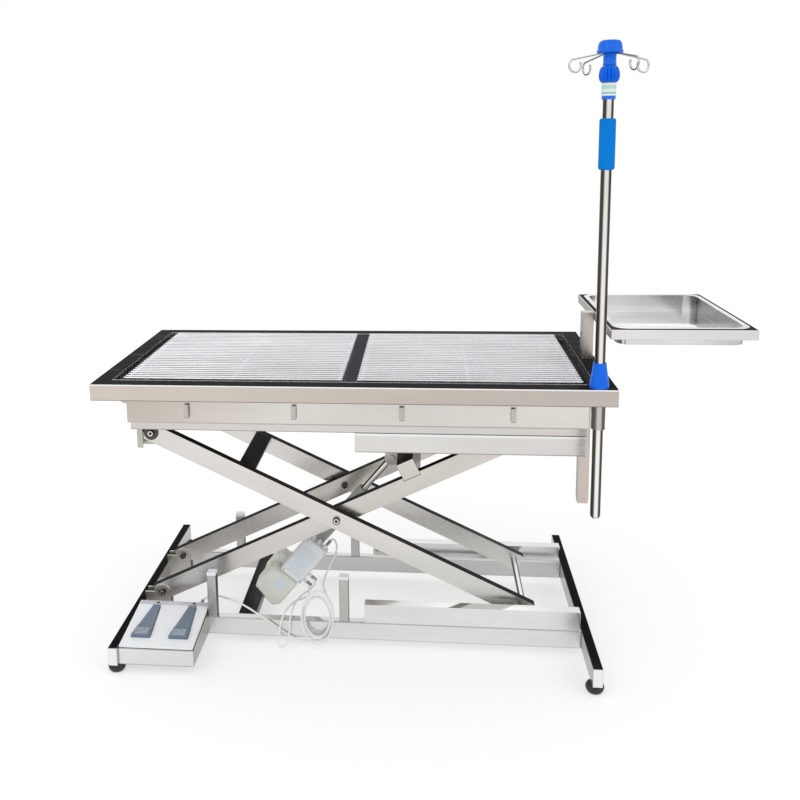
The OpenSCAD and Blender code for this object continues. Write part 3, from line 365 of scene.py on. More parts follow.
def moulded(name, colour, roughness, pebbles, depth, mottle, **sockets):
    """Moulded plastic with a pebbled skin, its pebbles counted to the metre, and slight changes of tone."""
    made, tree, shader = start_finish(name, colour, roughness, **sockets)
    place = put(tree, "ShaderNodeTexCoord").outputs["Object"]
    cells = {"Vector": place, "Scale": pebbles, "Randomness": 1.0}
    skin = put(tree, "ShaderNodeTexVoronoi", cells).outputs["Distance"]
    cloud = streaks(tree, place, (14.0, 14.0, 14.0), detail=4.0, seed=5.5)
    tint = shade(tree, colour, rescale(tree, cloud, *WIDE_NOISE, 1 - mottle, 1 + mottle * 0.6))
    matt = rescale(tree, cloud, *NOISE, roughness * 0.85, roughness * 1.15)
    end_finish(tree, shader, tint, matt, skin, depth, PEBBLE_DEPTH)
    return made


def banded(name, bands, roughness):
    """Moulded plastic in level bands, each from its height up."""
    colour = bands[0][1]
    made, tree, shader = start_finish(name, colour, roughness)
    place = put(tree, "ShaderNodeTexCoord").outputs["Object"]
    height = split(tree, place)["Z"]
    for start, tint in bands[1:]:
        colour = blend_colours(tree, ramp(tree, height, start - BAND_BLUR, start + BAND_BLUR), colour, tint)
    cloud = streaks(tree, place, (20.0, 20.0, 60.0), detail=3.0, seed=2.2)
    colour = shade(tree, colour, rescale(tree, cloud, *WIDE_NOISE, 0.95, 1.03))
    matt = rescale(tree, cloud, *NOISE, roughness * 0.85, roughness * 1.2)
    end_finish(tree, shader, colour, matt, cloud, 0.2, BAND_DEPTH)
    return made


def wear(piece, finish):
    """The piece's only finish."""
    piece.data.materials.clear()
    piece.data.materials.append(finish)


def ease_edges(piece, radius):
    """Soft folds and corners on a solid of the CAD model, which keeps its own mesh."""
    weld = piece.modifiers.new("Joined faces", "WELD")
    weld.merge_threshold = 0.00002
    flat = piece.modifiers.new("Whole faces", "DECIMATE")
    flat.decimate_type = "DISSOLVE"
    flat.angle_limit = math.radians(1)
    soft = piece.modifiers.new("Eased edges", "BEVEL")
    soft.width = radius
    soft.segments = 2
    soft.limit_method = "ANGLE"
    soft.angle_limit = math.radians(35)
    soft.use_clamp_overlap = True
    soft.miter_outer = "MITER_ARC"
    even = piece.modifiers.new("Even shading", "WEIGHTED_NORMAL")
    even.keep_sharp = False
    even.weight = 60


# Modelling helpers

FRONT = (0, -1, 0)
UP = (0, 0, 1)


def clear_choice():
    if bpy.context.object and bpy.context.object.mode != "OBJECT":
        bpy.ops.object.mode_set(mode="OBJECT")
    bpy.ops.object.select_all(action="DESELECT")


def take(piece):
    clear_choice()
    piece.select_set(True)
    bpy.context.view_layer.objects.active = piece


def settle(piece, name):
    """Puts the piece's place in its mesh and names it."""
    piece.name = name
    piece.data.name = name
    take(piece)
    bpy.ops.object.transform_apply(location=True, rotation=True, scale=True)
    return piece


def box_piece(name, low, high):
    """A box between two corners in millimetres, to be shaped further."""
    clear_choice()
    low = Vector(mm(*low))
    high = Vector(mm(*high))
    bpy.ops.mesh.primitive_cube_add(size=1, location=(low + high) / 2)
    bpy.context.object.scale = high - low
    return settle(bpy.context.object, name)


def rod_piece(name, radius, start, end, sides):
    """A cylinder from one point to another, to be shaped further."""
    clear_choice()
    start = Vector(start)
    end = Vector(end)
    middle = (start + end) / 2
    turn = (end - start).to_track_quat("Z", "Y").to_euler()
    bpy.ops.mesh.primitive_cylinder_add(
        vertices=sides, radius=radius, depth=(end - start).length, location=middle, rotation=turn
    )
    return settle(bpy.context.object, name)


def open_faces(piece, direction):
    """Opens the piece for editing with only the faces chosen that point one way."""
    take(piece)
    bpy.ops.object.mode_set(mode="EDIT")
    bpy.ops.mesh.select_mode(type="FACE")
    bpy.ops.mesh.select_all(action="DESELECT")
    bpy.ops.object.mode_set(mode="OBJECT")
    for face in piece.data.polygons:
        face.select = face.normal.dot(Vector(direction).normalized()) > 0.99
    bpy.ops.object.mode_set(mode="EDIT")


def sink_faces(piece, direction, border, depth):
    """Sinks the faces that point one way, inside a border."""
    open_faces(piece, direction)
    bpy.ops.mesh.inset(thickness=border, depth=-depth)
    bpy.ops.object.mode_set(mode="OBJECT")


def round_off(piece, width, segments=3, angle=30.0):
    """Rounded edges and even shading on a new piece."""
    take(piece)
    soft = piece.modifiers.new("Round", "BEVEL")
    soft.width = width
    soft.segments = segments
    soft.limit_method = "ANGLE"
    soft.angle_limit = math.radians(angle)
    bpy.ops.object.modifier_apply(modifier=soft.name)
    bpy.ops.object.shade_smooth_by_angle(angle=math.radians(40))
    return piece


def lay(piece, matrix):
    """Moves a piece from the frame it was made in to its place."""
    piece.matrix_world = matrix
    return settle(piece, piece.name)


def fit(piece, body, finish, slot, *replaced):
    """Gives a finished piece its finish, its body and the solids it stands for."""
    wear(piece, finish)
    if body:
        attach(piece, body)
    if replaced:
        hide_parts(*replaced)
    return piece


# Cords: the points they pass, in millimetres in the table's own frame

SWITCH_ROUTE = [
    (-430, -160, 85), (-430, -148, 86), (-424, -140, 90), (-408, -139, 98), (-386, -150, 106),
    (-362, -170, 112), (-336, -188, 115), (-310, -200, 112), (-285, -209, 104), (-260, -213, 90),
    (-234, -213, 72), (-208, -212.5, 54), (-184, -212, 37), (-162, -212, 25), (-140, -211.7, 19.5),
    (-118, -211.3, 18.8),
]
COIL = {"x": -97, "y": -211.3, "z": 93.8, "half_width": 44, "half_height": 75, "pitch": 6.5, "turns": 3.25}
COIL_DIP = 0.24
COIL_STEPS = 24
LEAD_ROUTE = [
    (-53, -232.4, 101.8), (-55, -229, 120), (-64, -218, 139), (-74, -200, 149), (-82, -178, 152),
    (-87, -150, 150), (-88, -122, 149), (-85, -98, 154), (-76, -78, 168), (-64, -62, 188),
    (-58, -50, 210), (-62, -42, 227), (-71, -42, 233), (-82.1, -42, 221.9), (-87.2, -42, 215.8),
]
MOTOR_ROUTE = [
    (-147.8, -42, 101.4), (-144.7, -42, 98.8), (-141.7, -42, 96.3), (-140, -60, 72),
    (-147, -84, 74), (-158, -115, 84), (-170, -150, 94), (-182, -182, 95), (-191, -208, 86),
    (-198, -224, 62), (-203, -230, 36), (-202, -235, 19), (-194, -240, 13), (-184, -238, 15),
    (-177, -229, 28), (-173, -222, 52), (-171, -214, 82), (-166, -192, 101), (-158, -160, 108),
    (-147, -125, 106), (-134, -92, 102), (-122, -62, 104), (-127.6, -42, 113.2),
    (-130.6, -42, 115.8), (-133.7, -42, 118.3),
]
ROUTE_STEPS = 3

# Strain reliefs, in metres, with the size of each rib against the one before
BOOT_RADIUS = 0.0046
BOOT_ROOT = 0.0005
BOOT_LENGTH = 0.016
BOOT_RIB = 0.0012
BOOT_TAPER = (0.92, 0.86, 0.8)


def coil_points():
    """The coil's middle line: an upright oval spiral that draws in at its middle turns."""
    points = []
    for k in range(int(COIL_STEPS * COIL["turns"]) + 1):
        turn = k / COIL_STEPS
        share = 1 - COIL_DIP * math.sin(math.pi * turn / COIL["turns"]) ** 2
        points.append(at(
            COIL["x"] + COIL["half_width"] * share * math.sin(2 * math.pi * turn),
            COIL["y"] - COIL["pitch"] * turn,
            COIL["z"] - COIL["half_height"] * share * math.cos(2 * math.pi * turn),
        ))
    return points


def smooth_line(route):
    """A smooth line through the points of a route, in metres."""
    points = [at(*p) for p in route]
    last = len(points) - 1
    line = []
    for i in range(last):
        a, b, c, d = (points[min(max(k, 0), last)] for k in (i - 1, i, i + 1, i + 2))
        for k in range(ROUTE_STEPS):
            t = k / ROUTE_STEPS
            bend = (2 * a - 5 * b + 4 * c - d) * t * t
            twist = (3 * b - a - 3 * c + d) * t ** 3
            line.append(0.5 * (2 * b + (c - a) * t + bend + twist))
    return line + [points[-1]]


def cord_tube(name, points, diameter):
    """A round cord along the points, as a curve that is turned into a mesh."""
    route = bpy.data.curves.new(name, "CURVE")
    route.dimensions = "3D"
    route.bevel_depth = diameter / 2
    route.bevel_resolution = 4
    route.use_fill_caps = True
    spline = route.splines.new("POLY")
    spline.points.add(len(points) - 1)
    for spot, p in zip(spline.points, points):
        spot.co = (*p, 1)
    cord = bpy.data.objects.new(name, route)
    bpy.context.scene.collection.objects.link(cord)
    take(cord)
    bpy.ops.object.convert(target="MESH")
    cord = bpy.context.object
    for face in cord.data.polygons:
        face.use_smooth = True
    return cord


def boot(name, start, direction, finish, body):
    """A tapered, ribbed strain relief on a cord, from its socket outwards."""
    direction = direction.normalized()
    tip = start + direction * BOOT_LENGTH
    piece = rod_piece(name, BOOT_RADIUS, start - direction * BOOT_ROOT, tip, 24)
    open_faces(piece, direction)
    for share in BOOT_TAPER:
        bpy.ops.mesh.extrude_region_move(TRANSFORM_OT_translate={"value": direction * BOOT_RIB})
        bpy.ops.transform.resize(value=(share, share, share), center_override=tip)
    bpy.ops.object.mode_set(mode="OBJECT")
    round_off(piece, 0.0005, 2, 20.0)
    return fit(piece, body, finish, "black_rubber")


class EXAM_OT_cords(bpy.types.Operator):
    """Lays the foot switch's coiled cord and the motor's cord"""

    bl_idname = "exam.cords"
    bl_label = "Cords"

    def execute(self, context):
        facts = context.scene.exam_cords
        jacket = moulded("Cord jacket", tuple(facts.jacket), 0.38, 1600.0, 0.15, 0.03, Coat_Weight=0.1)
        boot_grey = moulded("Cord boot", (0.3, 0.31, 0.32), 0.5, 900.0, 0.3, 0.06)
        long_way = smooth_line(SWITCH_ROUTE) + coil_points() + smooth_line(LEAD_ROUTE)
        cord = cord_tube("foot_switch_cord", long_way, facts.diameter)
        backward = Vector((0, 1, 0.05))
        upward = Vector((0.64, 0, 0.768))
        boots = [
            boot("switch_cord_boot", at(-430, -160.4, 85), backward, boot_grey, "base"),
            boot("control_cord_boot", at(-87.4, -42, 215.3), upward, boot_grey, "actuator"),
        ]
        fit(cord, None, jacket, "cord_white")
        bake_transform(cord)
        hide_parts("switch_cord", "cord_coil", "control_lead")
        short_way = smooth_line(MOTOR_ROUTE)
        cord = cord_tube("motor_cord", short_way, facts.diameter)
        outward = Vector((0.768, 0, -0.64))
        boots = [
            boot("motor_cord_boot_low", at(-148, -42, 101.6), outward, boot_grey, "actuator"),
            boot("motor_cord_boot_high", at(-134, -42, 118.6), outward, boot_grey, "actuator"),
        ]
        fit(cord, None, jacket, "cord_white")
        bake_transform(cord)
        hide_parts("motor_lead")
        return {"FINISHED"}


# Pole head: outlines as radius and height in millimetres, from the bore out and back

POLE_AT = (608, -300)
KNOB = [
    (8.2, 1476.5), (16.4, 1476.5), (18, 1477.8), (20.4, 1480.6), (22, 1484), (22.9, 1487.6),
    (23.2, 1491.4), (23, 1495.4), (22.5, 1499.4), (21.7, 1503.4), (20.4, 1507), (18.6, 1510.2),
    (16.2, 1512.8), (14.4, 1514), (8.2, 1514), (8.2, 1476.5),
]
NECK = [
    (13.55, 1515), (15.2, 1515), (15.4, 1517.5), (14.4, 1520), (14.4, 1536), (15.6, 1538.4),
    (15.6, 1540.8), (13.55, 1540.8), (13.55, 1515),
]
CAP = [
    (6.1, 1541.6), (28.4, 1541.6), (29.3, 1542.8), (29.3, 1546.6), (28.5, 1548.2), (27.4, 1549.4),
    (27, 1552), (26.6, 1556), (26, 1560), (25, 1563.6), (23.2, 1566.8), (20.4, 1569.2),
    (16, 1570.5), (10, 1571), (5, 1571.1), (0.004, 1571.1), (0.004, 1562), (6.1, 1562),
    (6.1, 1541.6),
]

# Grooves aren't cut nearer to the pole's middle line than this, in metres
BORE_REACH = 0.012


def turned_piece(name, outline, sides, flutes, groove, span):
    """A round piece drawn up ring by ring, with grooves down its sides between two heights.

    groove is how far a groove's floor lies from the middle line, as a share of the outline's radius.
    """
    clear_choice()
    x, y, _ = at(*POLE_AT, 0)
    low, high = mm(*span)
    rings = [mm(*ring) for ring in outline]
    radius, height = rings[0]
    bpy.ops.mesh.primitive_circle_add(vertices=sides, radius=radius, location=(x, y, height))
    piece = settle(bpy.context.object, name)
    bpy.ops.object.mode_set(mode="EDIT")
    bpy.ops.mesh.select_mode(type="EDGE")
    bpy.ops.mesh.select_all(action="SELECT")
    for new_radius, new_height in rings[1:]:
        bpy.ops.mesh.extrude_region_move(TRANSFORM_OT_translate={"value": (0, 0, new_height - height)})
        share = new_radius / radius
        bpy.ops.transform.resize(value=(share, share, 1), center_override=(x, y, new_height))
        radius = new_radius
        height = new_height
    bpy.ops.mesh.select_all(action="SELECT")
    bpy.ops.mesh.remove_doubles(threshold=0.00001)
    bpy.ops.mesh.normals_make_consistent(inside=False)
    bpy.ops.mesh.select_mode(type="VERT")
    # Half of the depth goes into a wide band of each groove, and half into its middle line
    half = math.sqrt(groove)
    for spread in (1, 0):
        bpy.ops.mesh.select_all(action="DESELECT")
        bpy.ops.object.mode_set(mode="OBJECT")
        for spot in piece.data.vertices:
            step = round(math.atan2(spot.co.y - y, spot.co.x - x) / (2 * math.pi) * sides)
            wide = math.hypot(spot.co.x - x, spot.co.y - y)
            off = (step + spread) % (sides // flutes)
            spot.select = off <= 2 * spread and low < spot.co.z < high and wide > BORE_REACH
        bpy.ops.object.mode_set(mode="EDIT")
        bpy.ops.transform.resize(value=(half, half, 1), center_override=(x, y, height))
    bpy.ops.object.mode_set(mode="OBJECT")
    return round_off(piece, 0.0004, 2, 50.0)


class EXAM_OT_pole_head(bpy.types.Operator):
    """Turns the pole's knob, neck and hook head"""

    bl_idname = "exam.pole_head"
    bl_label = "Pole head"

    def execute(self, context):
        tint = tuple(context.scene.exam_plastic.blue)
        blue = moulded("Pole plastic", tint, 0.24, 700.0, 0.02, 0.08, Specular_IOR_Level=0.22)
        knob = turned_piece("locking_knob", KNOB, sides=80, flutes=16, groove=0.78, span=(1479.5, 1511))
        fit(knob, "knob", blue, "blue_plastic", "twist_knob")
        neck = turned_piece("mast_neck", NECK, sides=48, flutes=12, groove=0.94, span=(1519, 1537))
        fit(neck, "mast", blue, "blue_plastic")
        cap = turned_piece("hook_cap", CAP, sides=64, flutes=8, groove=0.87, span=(1550.5, 1568))
        fit(cap, "head", blue, "blue_plastic", "hook_head")
        return {"FINISHED"}


# Foot switch: places and outlines in millimetres in the frame of its sloping top, other sizes in metres

SWITCH_AT = (-600, -372, 76)
SWITCH_SLOPE = 6
SEAL_AT = (99.5, 100.6, -6.2)
SEAL_SIZE = (198.2, 199.6)
SEAL_BAND = 0.0026
SEAL_HEIGHT = 0.0022
BACK_PANEL = ((4, 181.5, -0.4), (195, 198, 0.7))
SWITCH_PLATE = ((84, 185, 0.2), (125, 195, 0.9))
MARKS = (("switch_mark_left", 54), ("switch_mark_right", 155))
MARK_Y = 190
MARK_RADIUS = 0.0042
MARK_SPAN = (0.2, 1.2)
TOE_PAD = (36, 24.5, 1.2)
TOE_CUTS = 8
TOE_RIB = 0.0009
TOE_SINK = 0.0004
TOE_ASIDE = 0.0005

# Where the pad starts, and where the pedal's slope is read as well, back from the pedal's front
TOE_FRONT = 0.0045
TOE_BACK = 0.029


def top_of(piece, x, y):
    """The highest point of a piece over a place on the floor."""
    hit, spot, _, _ = piece.ray_cast(Vector((x, y, 2)), Vector((0, 0, -1)))
    if not hit:
        raise ValueError(piece.name + " isn't over that place")
    return spot


def toe_pad(side):
    """A ribbed pad near the front of a pedal, on its slope."""
    pedal = NODES["pedal_" + side]
    low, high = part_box("pedal_" + side)
    pad = box_piece("toe_pad_" + side, (0, 0, 0), TOE_PAD)
    open_faces(pad, UP)
    bpy.ops.mesh.subdivide(number_cuts=TOE_CUTS)
    bpy.ops.object.mode_set(mode="OBJECT")
    width, depth, _ = mm(*TOE_PAD)
    strip = depth / (TOE_CUTS + 1)
    for face in pad.data.polygons:
        face.select = face.normal.z > 0.9 and int(face.center.y / strip) % 2 == 0
    bpy.ops.object.mode_set(mode="EDIT")
    bpy.ops.mesh.extrude_region_move(TRANSFORM_OT_translate={"value": (0, 0, TOE_RIB)})
    bpy.ops.object.mode_set(mode="OBJECT")
    middle = (low.x + high.x) / 2 - TOE_ASIDE
    front = top_of(pedal, middle, low.y + TOE_FRONT)
    back = top_of(pedal, middle, low.y + TOE_BACK)
    lean = math.atan2(back.z - front.z, back.y - front.y)
    place = Matrix.Translation(front - Vector((0, 0, TOE_SINK))) @ Matrix.Rotation(lean, 4, "X")
    return lay(round_off(pad, 0.0002, 2), place @ Matrix.Translation((-width / 2, 0, 0)))


def switch_seal():
    """A dark rim round the foot switch's housing."""
    clear_choice()
    bpy.ops.mesh.primitive_plane_add(size=1, location=mm(*SEAL_AT))
    seal = bpy.context.object
    seal.scale = (*mm(*SEAL_SIZE), 1)
    settle(seal, "switch_seal")
    open_faces(seal, UP)
    bpy.ops.mesh.inset(thickness=SEAL_BAND)
    bpy.ops.mesh.delete(type="FACE")
    bpy.ops.object.mode_set(mode="OBJECT")
    thick = seal.modifiers.new("Thick", "SOLIDIFY")
    thick.thickness = SEAL_HEIGHT
    thick.offset = 0
    take(seal)
    bpy.ops.object.modifier_apply(modifier=thick.name)
    return round_off(seal, 0.0004)


class EXAM_OT_foot_switch(bpy.types.Operator):
    """Adds the foot switch's rim seal, back panel, marks and ribbed toe pads"""

    bl_idname = "exam.foot_switch"
    bl_label = "Foot switch"

    def execute(self, context):
        slope = Matrix.Translation(at(*SWITCH_AT)) @ Matrix.Rotation(math.radians(SWITCH_SLOPE), 4, "X")
        dark = moulded("Dark seal", (0.015, 0.015, 0.017), 0.5, 1000.0, 0.3, 0.1)
        panel = moulded("Back panel", (0.58, 0.58, 0.62), 0.34, 1300.0, 0.15, 0.04)
        plate = moulded("Bare plate", (0.68, 0.68, 0.71), 0.3, 1500.0, 0.1, 0.03)
        toe = moulded("Toe pad", (0.4, 0.45, 0.53), 0.48, 900.0, 0.5, 0.08)
        fit(lay(switch_seal(), slope), "base", dark, "black_rubber")
        back = box_piece("switch_back_panel", *BACK_PANEL)
        sink_faces(back, UP, 0.0014, 0.0003)
        fit(lay(round_off(back, 0.0003), slope), "base", panel, "white_plastic")
        label = box_piece("switch_bare_plate", *SWITCH_PLATE)
        fit(lay(round_off(label, 0.0003), slope), "base", plate, "white_plastic")
        for name, x in MARKS:
            foot, top = (mm(x, MARK_Y, height) for height in MARK_SPAN)
            mark = rod_piece(name, MARK_RADIUS, foot, top, 24)
            sink_faces(mark, UP, 0.0012, 0.0004)
            fit(lay(round_off(mark, 0.0002), slope), "base", dark, "black_rubber")
        for side in ("left", "right"):
            fit(toe_pad(side), "pedal_" + side, toe, "pedal_plastic")
        return {"FINISHED"}


# Lift housings: places and corners in millimetres in the actuator's leaning frame, other sizes in metres

HOUSINGS_AT = (-235, 0, 68)
HOUSINGS_LEAN = -50.2
COVER_SEAM = ((69.2, -43, -33.3), (195.8, -41.6, 39.3))
CONTROL_PLATE = ((84, -60.6, -20), (172, -59.6, 26))
MOTOR_PLATE = ((26, -75.6, -4), (62, -74.6, 30))
PLATE_BORDER = 0.0012
PLATE_DEPTH = 0.0002
SCREWS_AT = ((76, -26), (76, 32), (189, -26), (189, 32))
SCREW_SPAN = (-59.6, -60.7)
SCREW_RADIUS = 0.0026


class EXAM_OT_lift_housings(bpy.types.Operator):
    """Adds the bare plates, seams and screws of the motor and control housings"""

    bl_idname = "exam.lift_housings"
    bl_label = "Lift housings"

    def execute(self, context):
        lean = Matrix.Rotation(math.radians(HOUSINGS_LEAN), 4, "Y")
        incline = Matrix.Translation(at(*HOUSINGS_AT)) @ lean
        seam_grey = moulded("Cover seam", (0.36, 0.37, 0.38), 0.5, 900.0, 0.2, 0.05)
        plate = moulded("Cover plate", (0.8, 0.87, 0.92), 0.26, 1500.0, 0.1, 0.03)
        screw = turned_steel("Cover screw", grey(0.15), grey(0.6), roughness=0.25, axis="Y")
        seam = box_piece("control_cover_seam", *COVER_SEAM)
        fit(lay(round_off(seam, 0.0005, 2), incline), "actuator", seam_grey, "white_plastic")
        label = box_piece("control_bare_plate", *CONTROL_PLATE)
        sink_faces(label, FRONT, PLATE_BORDER, PLATE_DEPTH)
        fit(lay(round_off(label, 0.0003), incline), "actuator", plate, "white_plastic")
        (first_x, first_z), *others = SCREWS_AT
        foot, top = (mm(first_x, y, first_z) for y in SCREW_SPAN)
        first = rod_piece("cover_screw_1", SCREW_RADIUS, foot, top, 20)
        sink_faces(first, FRONT, 0.0011, 0.0007)
        round_off(first, 0.0002, 2)
        for number, (x, z) in enumerate(others, 2):
            copy = bpy.data.objects.new(f"cover_screw_{number}", first.data.copy())
            context.scene.collection.objects.link(copy)
            copy.location = mm(x - first_x, 0, z - first_z)
            settle(copy, copy.name)
            fit(lay(copy, incline), "actuator", screw, "bolts")
        fit(lay(first, incline), "actuator", screw, "bolts")
        label = box_piece("motor_bare_plate", *MOTOR_PLATE)
        sink_faces(label, FRONT, PLATE_BORDER, PLATE_DEPTH)
        fit(lay(round_off(label, 0.0003), incline), "actuator", plate, "cream_plastic")
        return {"FINISHED"}


# Pivot bolts: the places of their axes in millimetres, and the sizes of their sockets in metres

PIVOTS = (("base_pivot_bolts", -550, 100), ("centre_bolts", -46.8, 340), ("table_pivot_bolts", -550, 580))
SOCKET_RADIUS = 0.0072
SOCKET_BORDER = 0.003
SOCKET_DEPTH = 0.0009
RECESS_RADIUS = 0.0041

# From where to where a socket and its recess reach, outwards from the face of the bolt's head
SOCKET_SPAN = (-0.001, 0.0008)
RECESS_SPAN = (-0.0006, 0.0004)


class EXAM_OT_bolts(bpy.types.Operator):
    """Sets a socket in the head of every pivot bolt"""

    bl_idname = "exam.bolts"
    bl_label = "Pivot bolts"

    def execute(self, context):
        bright = turned_steel("Socket rim", grey(0.3), (0.86, 0.86, 0.85), roughness=0.22, axis="Y")
        # Near-black for the socket's hole, a painted shade
        dark = moulded("Socket", (0.02, 0.02, 0.022), 0.5, 800.0, 0.3, 0.1)
        for node, x, z in PIVOTS:
            low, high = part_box(node)
            body = NODES[node]["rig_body"]
            for side, face, out in (("front", low.y, -1), ("back", high.y, 1)):
                middle = Vector((at(x, 0, z).x, face, z / 1000))
                step = Vector((0, out, 0))
                foot, top = (middle + step * reach for reach in SOCKET_SPAN)
                rim = rod_piece(f"{node}_{side}_socket", SOCKET_RADIUS, foot, top, 32)
                sink_faces(rim, step, SOCKET_BORDER, SOCKET_DEPTH)
                fit(round_off(rim, 0.0003, 2), body, bright, "bolts")
                # A near-black six-sided piece stands in the socket as its painted shade
                foot, top = (middle + step * reach for reach in RECESS_SPAN)
                hollow = rod_piece(f"{node}_{side}_recess", RECESS_RADIUS, foot, top, 6)
                fit(round_off(hollow, 0.0002, 1), body, dark, "bolts")
        return {"FINISHED"}


# Finishes of the solids


def steel_finishes(steel):
    """The brushed sheets and tubes, with painted light and shade in their tones for upper faces, sides,
    undersides, folds and ends, and in their gradients and lines.
    """
    sheet = tuple(steel.sheet)
    polished = tuple(steel.polished)
    return {
        "rim": stainless(
            "Rim sheet", front=sheet, top=polished, side=(0.55, 0.52, 0.5), patches=0.06,
            # A painted darker tone towards the right of the front
            tones=("X", -0.7, 0.4, (0.55, 0.5, 0.45)),
            # A painted highlight along the top of the apron and a painted shade line along its foot
            lines=((0.759, 0.7625, grey(0.97)), (0.719, 0.7216, (0.2, 0.19, 0.18))),
        ),
        "divider": stainless(
            "Divider bar", front=(0.2, 0.2, 0.22), top=(0.03, 0.03, 0.036), side=(0.3, 0.3, 0.32),
            grain="Y",
        ),
        "basin": stainless(
            "Basin sheet", front=(0.6, 0.54, 0.48), top=(0.3, 0.28, 0.28), side=(0.45, 0.42, 0.38),
            # Painted highlights on the folds, and a painted lighter tone on the front away from its left
            # end
            edge=(0.8, 0.78, 0.75), mirror=1.0, tones=("X", -0.72, -0.3, (0.74, 0.71, 0.67)),
            # A painted shadow under the apron and a painted shade line near the foot
            lines=((0.712, 0.73, (0.5, 0.47, 0.44)), (0.655, 0.658, (0.4, 0.37, 0.35))),
        ),
        "rail": stainless(
            "Rail tube", front=(0.7, 0.67, 0.64), top=(0.5, 0.49, 0.48), side=(0.4, 0.38, 0.36),
            # A painted shade line low on the rails and a painted highlight along their top
            mirror=1.0, lines=((0.605, 0.6085, (0.36, 0.35, 0.34)), (0.65, 0.657, (0.85, 0.84, 0.83))),
        ),
        "base_rail": stainless(
            "Base rail tube", front=(0.84, 0.83, 0.83), top=(0.72, 0.71, 0.7), side=(0.44, 0.43, 0.42),
            # Painted shade on the folds, and a painted darker tone on the rail further back
            edge=(0.5, 0.5, 0.49), mirror=1.0, tones=("Y", 0.0, 0.2, (0.66, 0.65, 0.65)),
            # Two painted shade lines, near the foot and near the top
            lines=((0.0235, 0.0265, (0.5, 0.49, 0.48)), (0.071, 0.075, (0.55, 0.54, 0.53))),
        ),
        "cross_member": stainless(
            "Cross-member tube", front=(0.6, 0.59, 0.58), top=polished, side=(0.5, 0.48, 0.46), grain="Y",
            # The folds take a painted shade, and tube ends that look to the front a painted highlight
            edge=grey(0.3), end=grey(0.97),
        ),
        "middle": stainless(
            "Middle tube", front=grey(0.16), top=grey(0.03), side=grey(0.1), grain="Y", edge=grey(0.25),
        ),
        # The arms take painted gradients of light and shade along their fronts and a painted highlight on
        # their sides
        "inner_arm": stainless(
            "Inner arm tube", front=(0.64, 0.62, 0.6), top=polished, side=(0.9, 0.9, 0.88),
            edge=(0.6, 0.6, 0.59), tilt=25.5, tones=("X", -0.62, -0.05, (0.68, 0.64, 0.6)), patches=0.16,
        ),
        "outer_arm": stainless(
            "Outer arm tube", front=(0.77, 0.74, 0.71), top=(0.03, 0.03, 0.031), side=(0.9, 0.9, 0.88),
            edge=(0.6, 0.6, 0.59), tilt=-25.5, tones=("X", -0.35, 0.2, (0.72, 0.71, 0.69)), patches=0.16,
        ),
        "track": stainless(
            "Track sheet", front=(0.75, 0.73, 0.71), top=(0.8, 0.79, 0.78), side=(0.7, 0.68, 0.66),
            under=(0.3, 0.29, 0.28), mirror=1.0,
            # A painted shade line and a painted highlight on the upper tracks, and a painted lighter band
            # on the lower tracks
            lines=(
                (0.5535, 0.5565, (0.36, 0.35, 0.34)),
                (0.5995, 0.6065, grey(0.9)),
                (0.07, 0.127, (0.86, 0.85, 0.84)),
            ),
        ),
        "lift_tube": stainless(
            "Lift cross tube", front=(0.68, 0.65, 0.61), top=grey(0.03), side=grey(0.1), grain="Y",
            edge=(0.07, 0.068, 0.065),
        ),
        "plate": stainless(
            "Plate", front=(0.55, 0.53, 0.5), top=(0.7, 0.69, 0.67), side=(0.42, 0.4, 0.38),
            roughness=0.3, mirror=1.0,
        ),
        "post": stainless(
            "Stop post tube", front=(0.54, 0.53, 0.51), top=grey(0.9), side=grey(0.03),
            edge=grey(0.8), grain="Z", mirror=1.0,
        ),
        "tray_post": stainless(
            "Tray post tube", front=(0.62, 0.55, 0.5), top=(0.5, 0.48, 0.45), side=(0.2, 0.18, 0.17),
            grain="Z", mirror=1.0,
        ),
        "tray": stainless(
            "Tray tube", front=(0.79, 0.77, 0.77), top=polished, side=(0.24, 0.2, 0.17), edge=grey(0.95),
        ),
        "pan": stainless(
            "Pan sheet", front=(0.84, 0.83, 0.84), top=(0.8, 0.81, 0.84), side=(0.4, 0.39, 0.39),
            roughness=0.16, mirror=1.0, patches=0.4,
        ),
    }


def round_finishes():
    """The rods, wires, round tubes and bolts, with the tone of their painted dark reflection first."""
    return {
        "rod": turned_steel(
            "Grille rod", (0.74, 0.72, 0.75), (0.99, 0.97, 1.0), roughness=0.34, axis="X",
            # Below this height the rods take a painted shade
            low=(0.7574, (0.42, 0.4, 0.44)),
        ),
        "wire": turned_steel("Hook wire", grey(0.2), grey(0.8), roughness=0.2, bands=(0.2, 0.6, 0.95)),
        "sleeve": turned_steel("Sleeve tube", (0.12, 0.11, 0.1), (0.6, 0.56, 0.52), roughness=0.24),
        "pole": turned_steel("Pole tube", (0.06, 0.055, 0.05), (0.9, 0.87, 0.84)),
        "axle": turned_steel("Bright bolt", grey(0.12), (0.78, 0.77, 0.75), roughness=0.2, axis="Y"),
        "bolt": turned_steel(
            "Bolt head", (0.02, 0.02, 0.021), (0.09, 0.088, 0.085), roughness=0.24, axis="Y",
        ),
    }


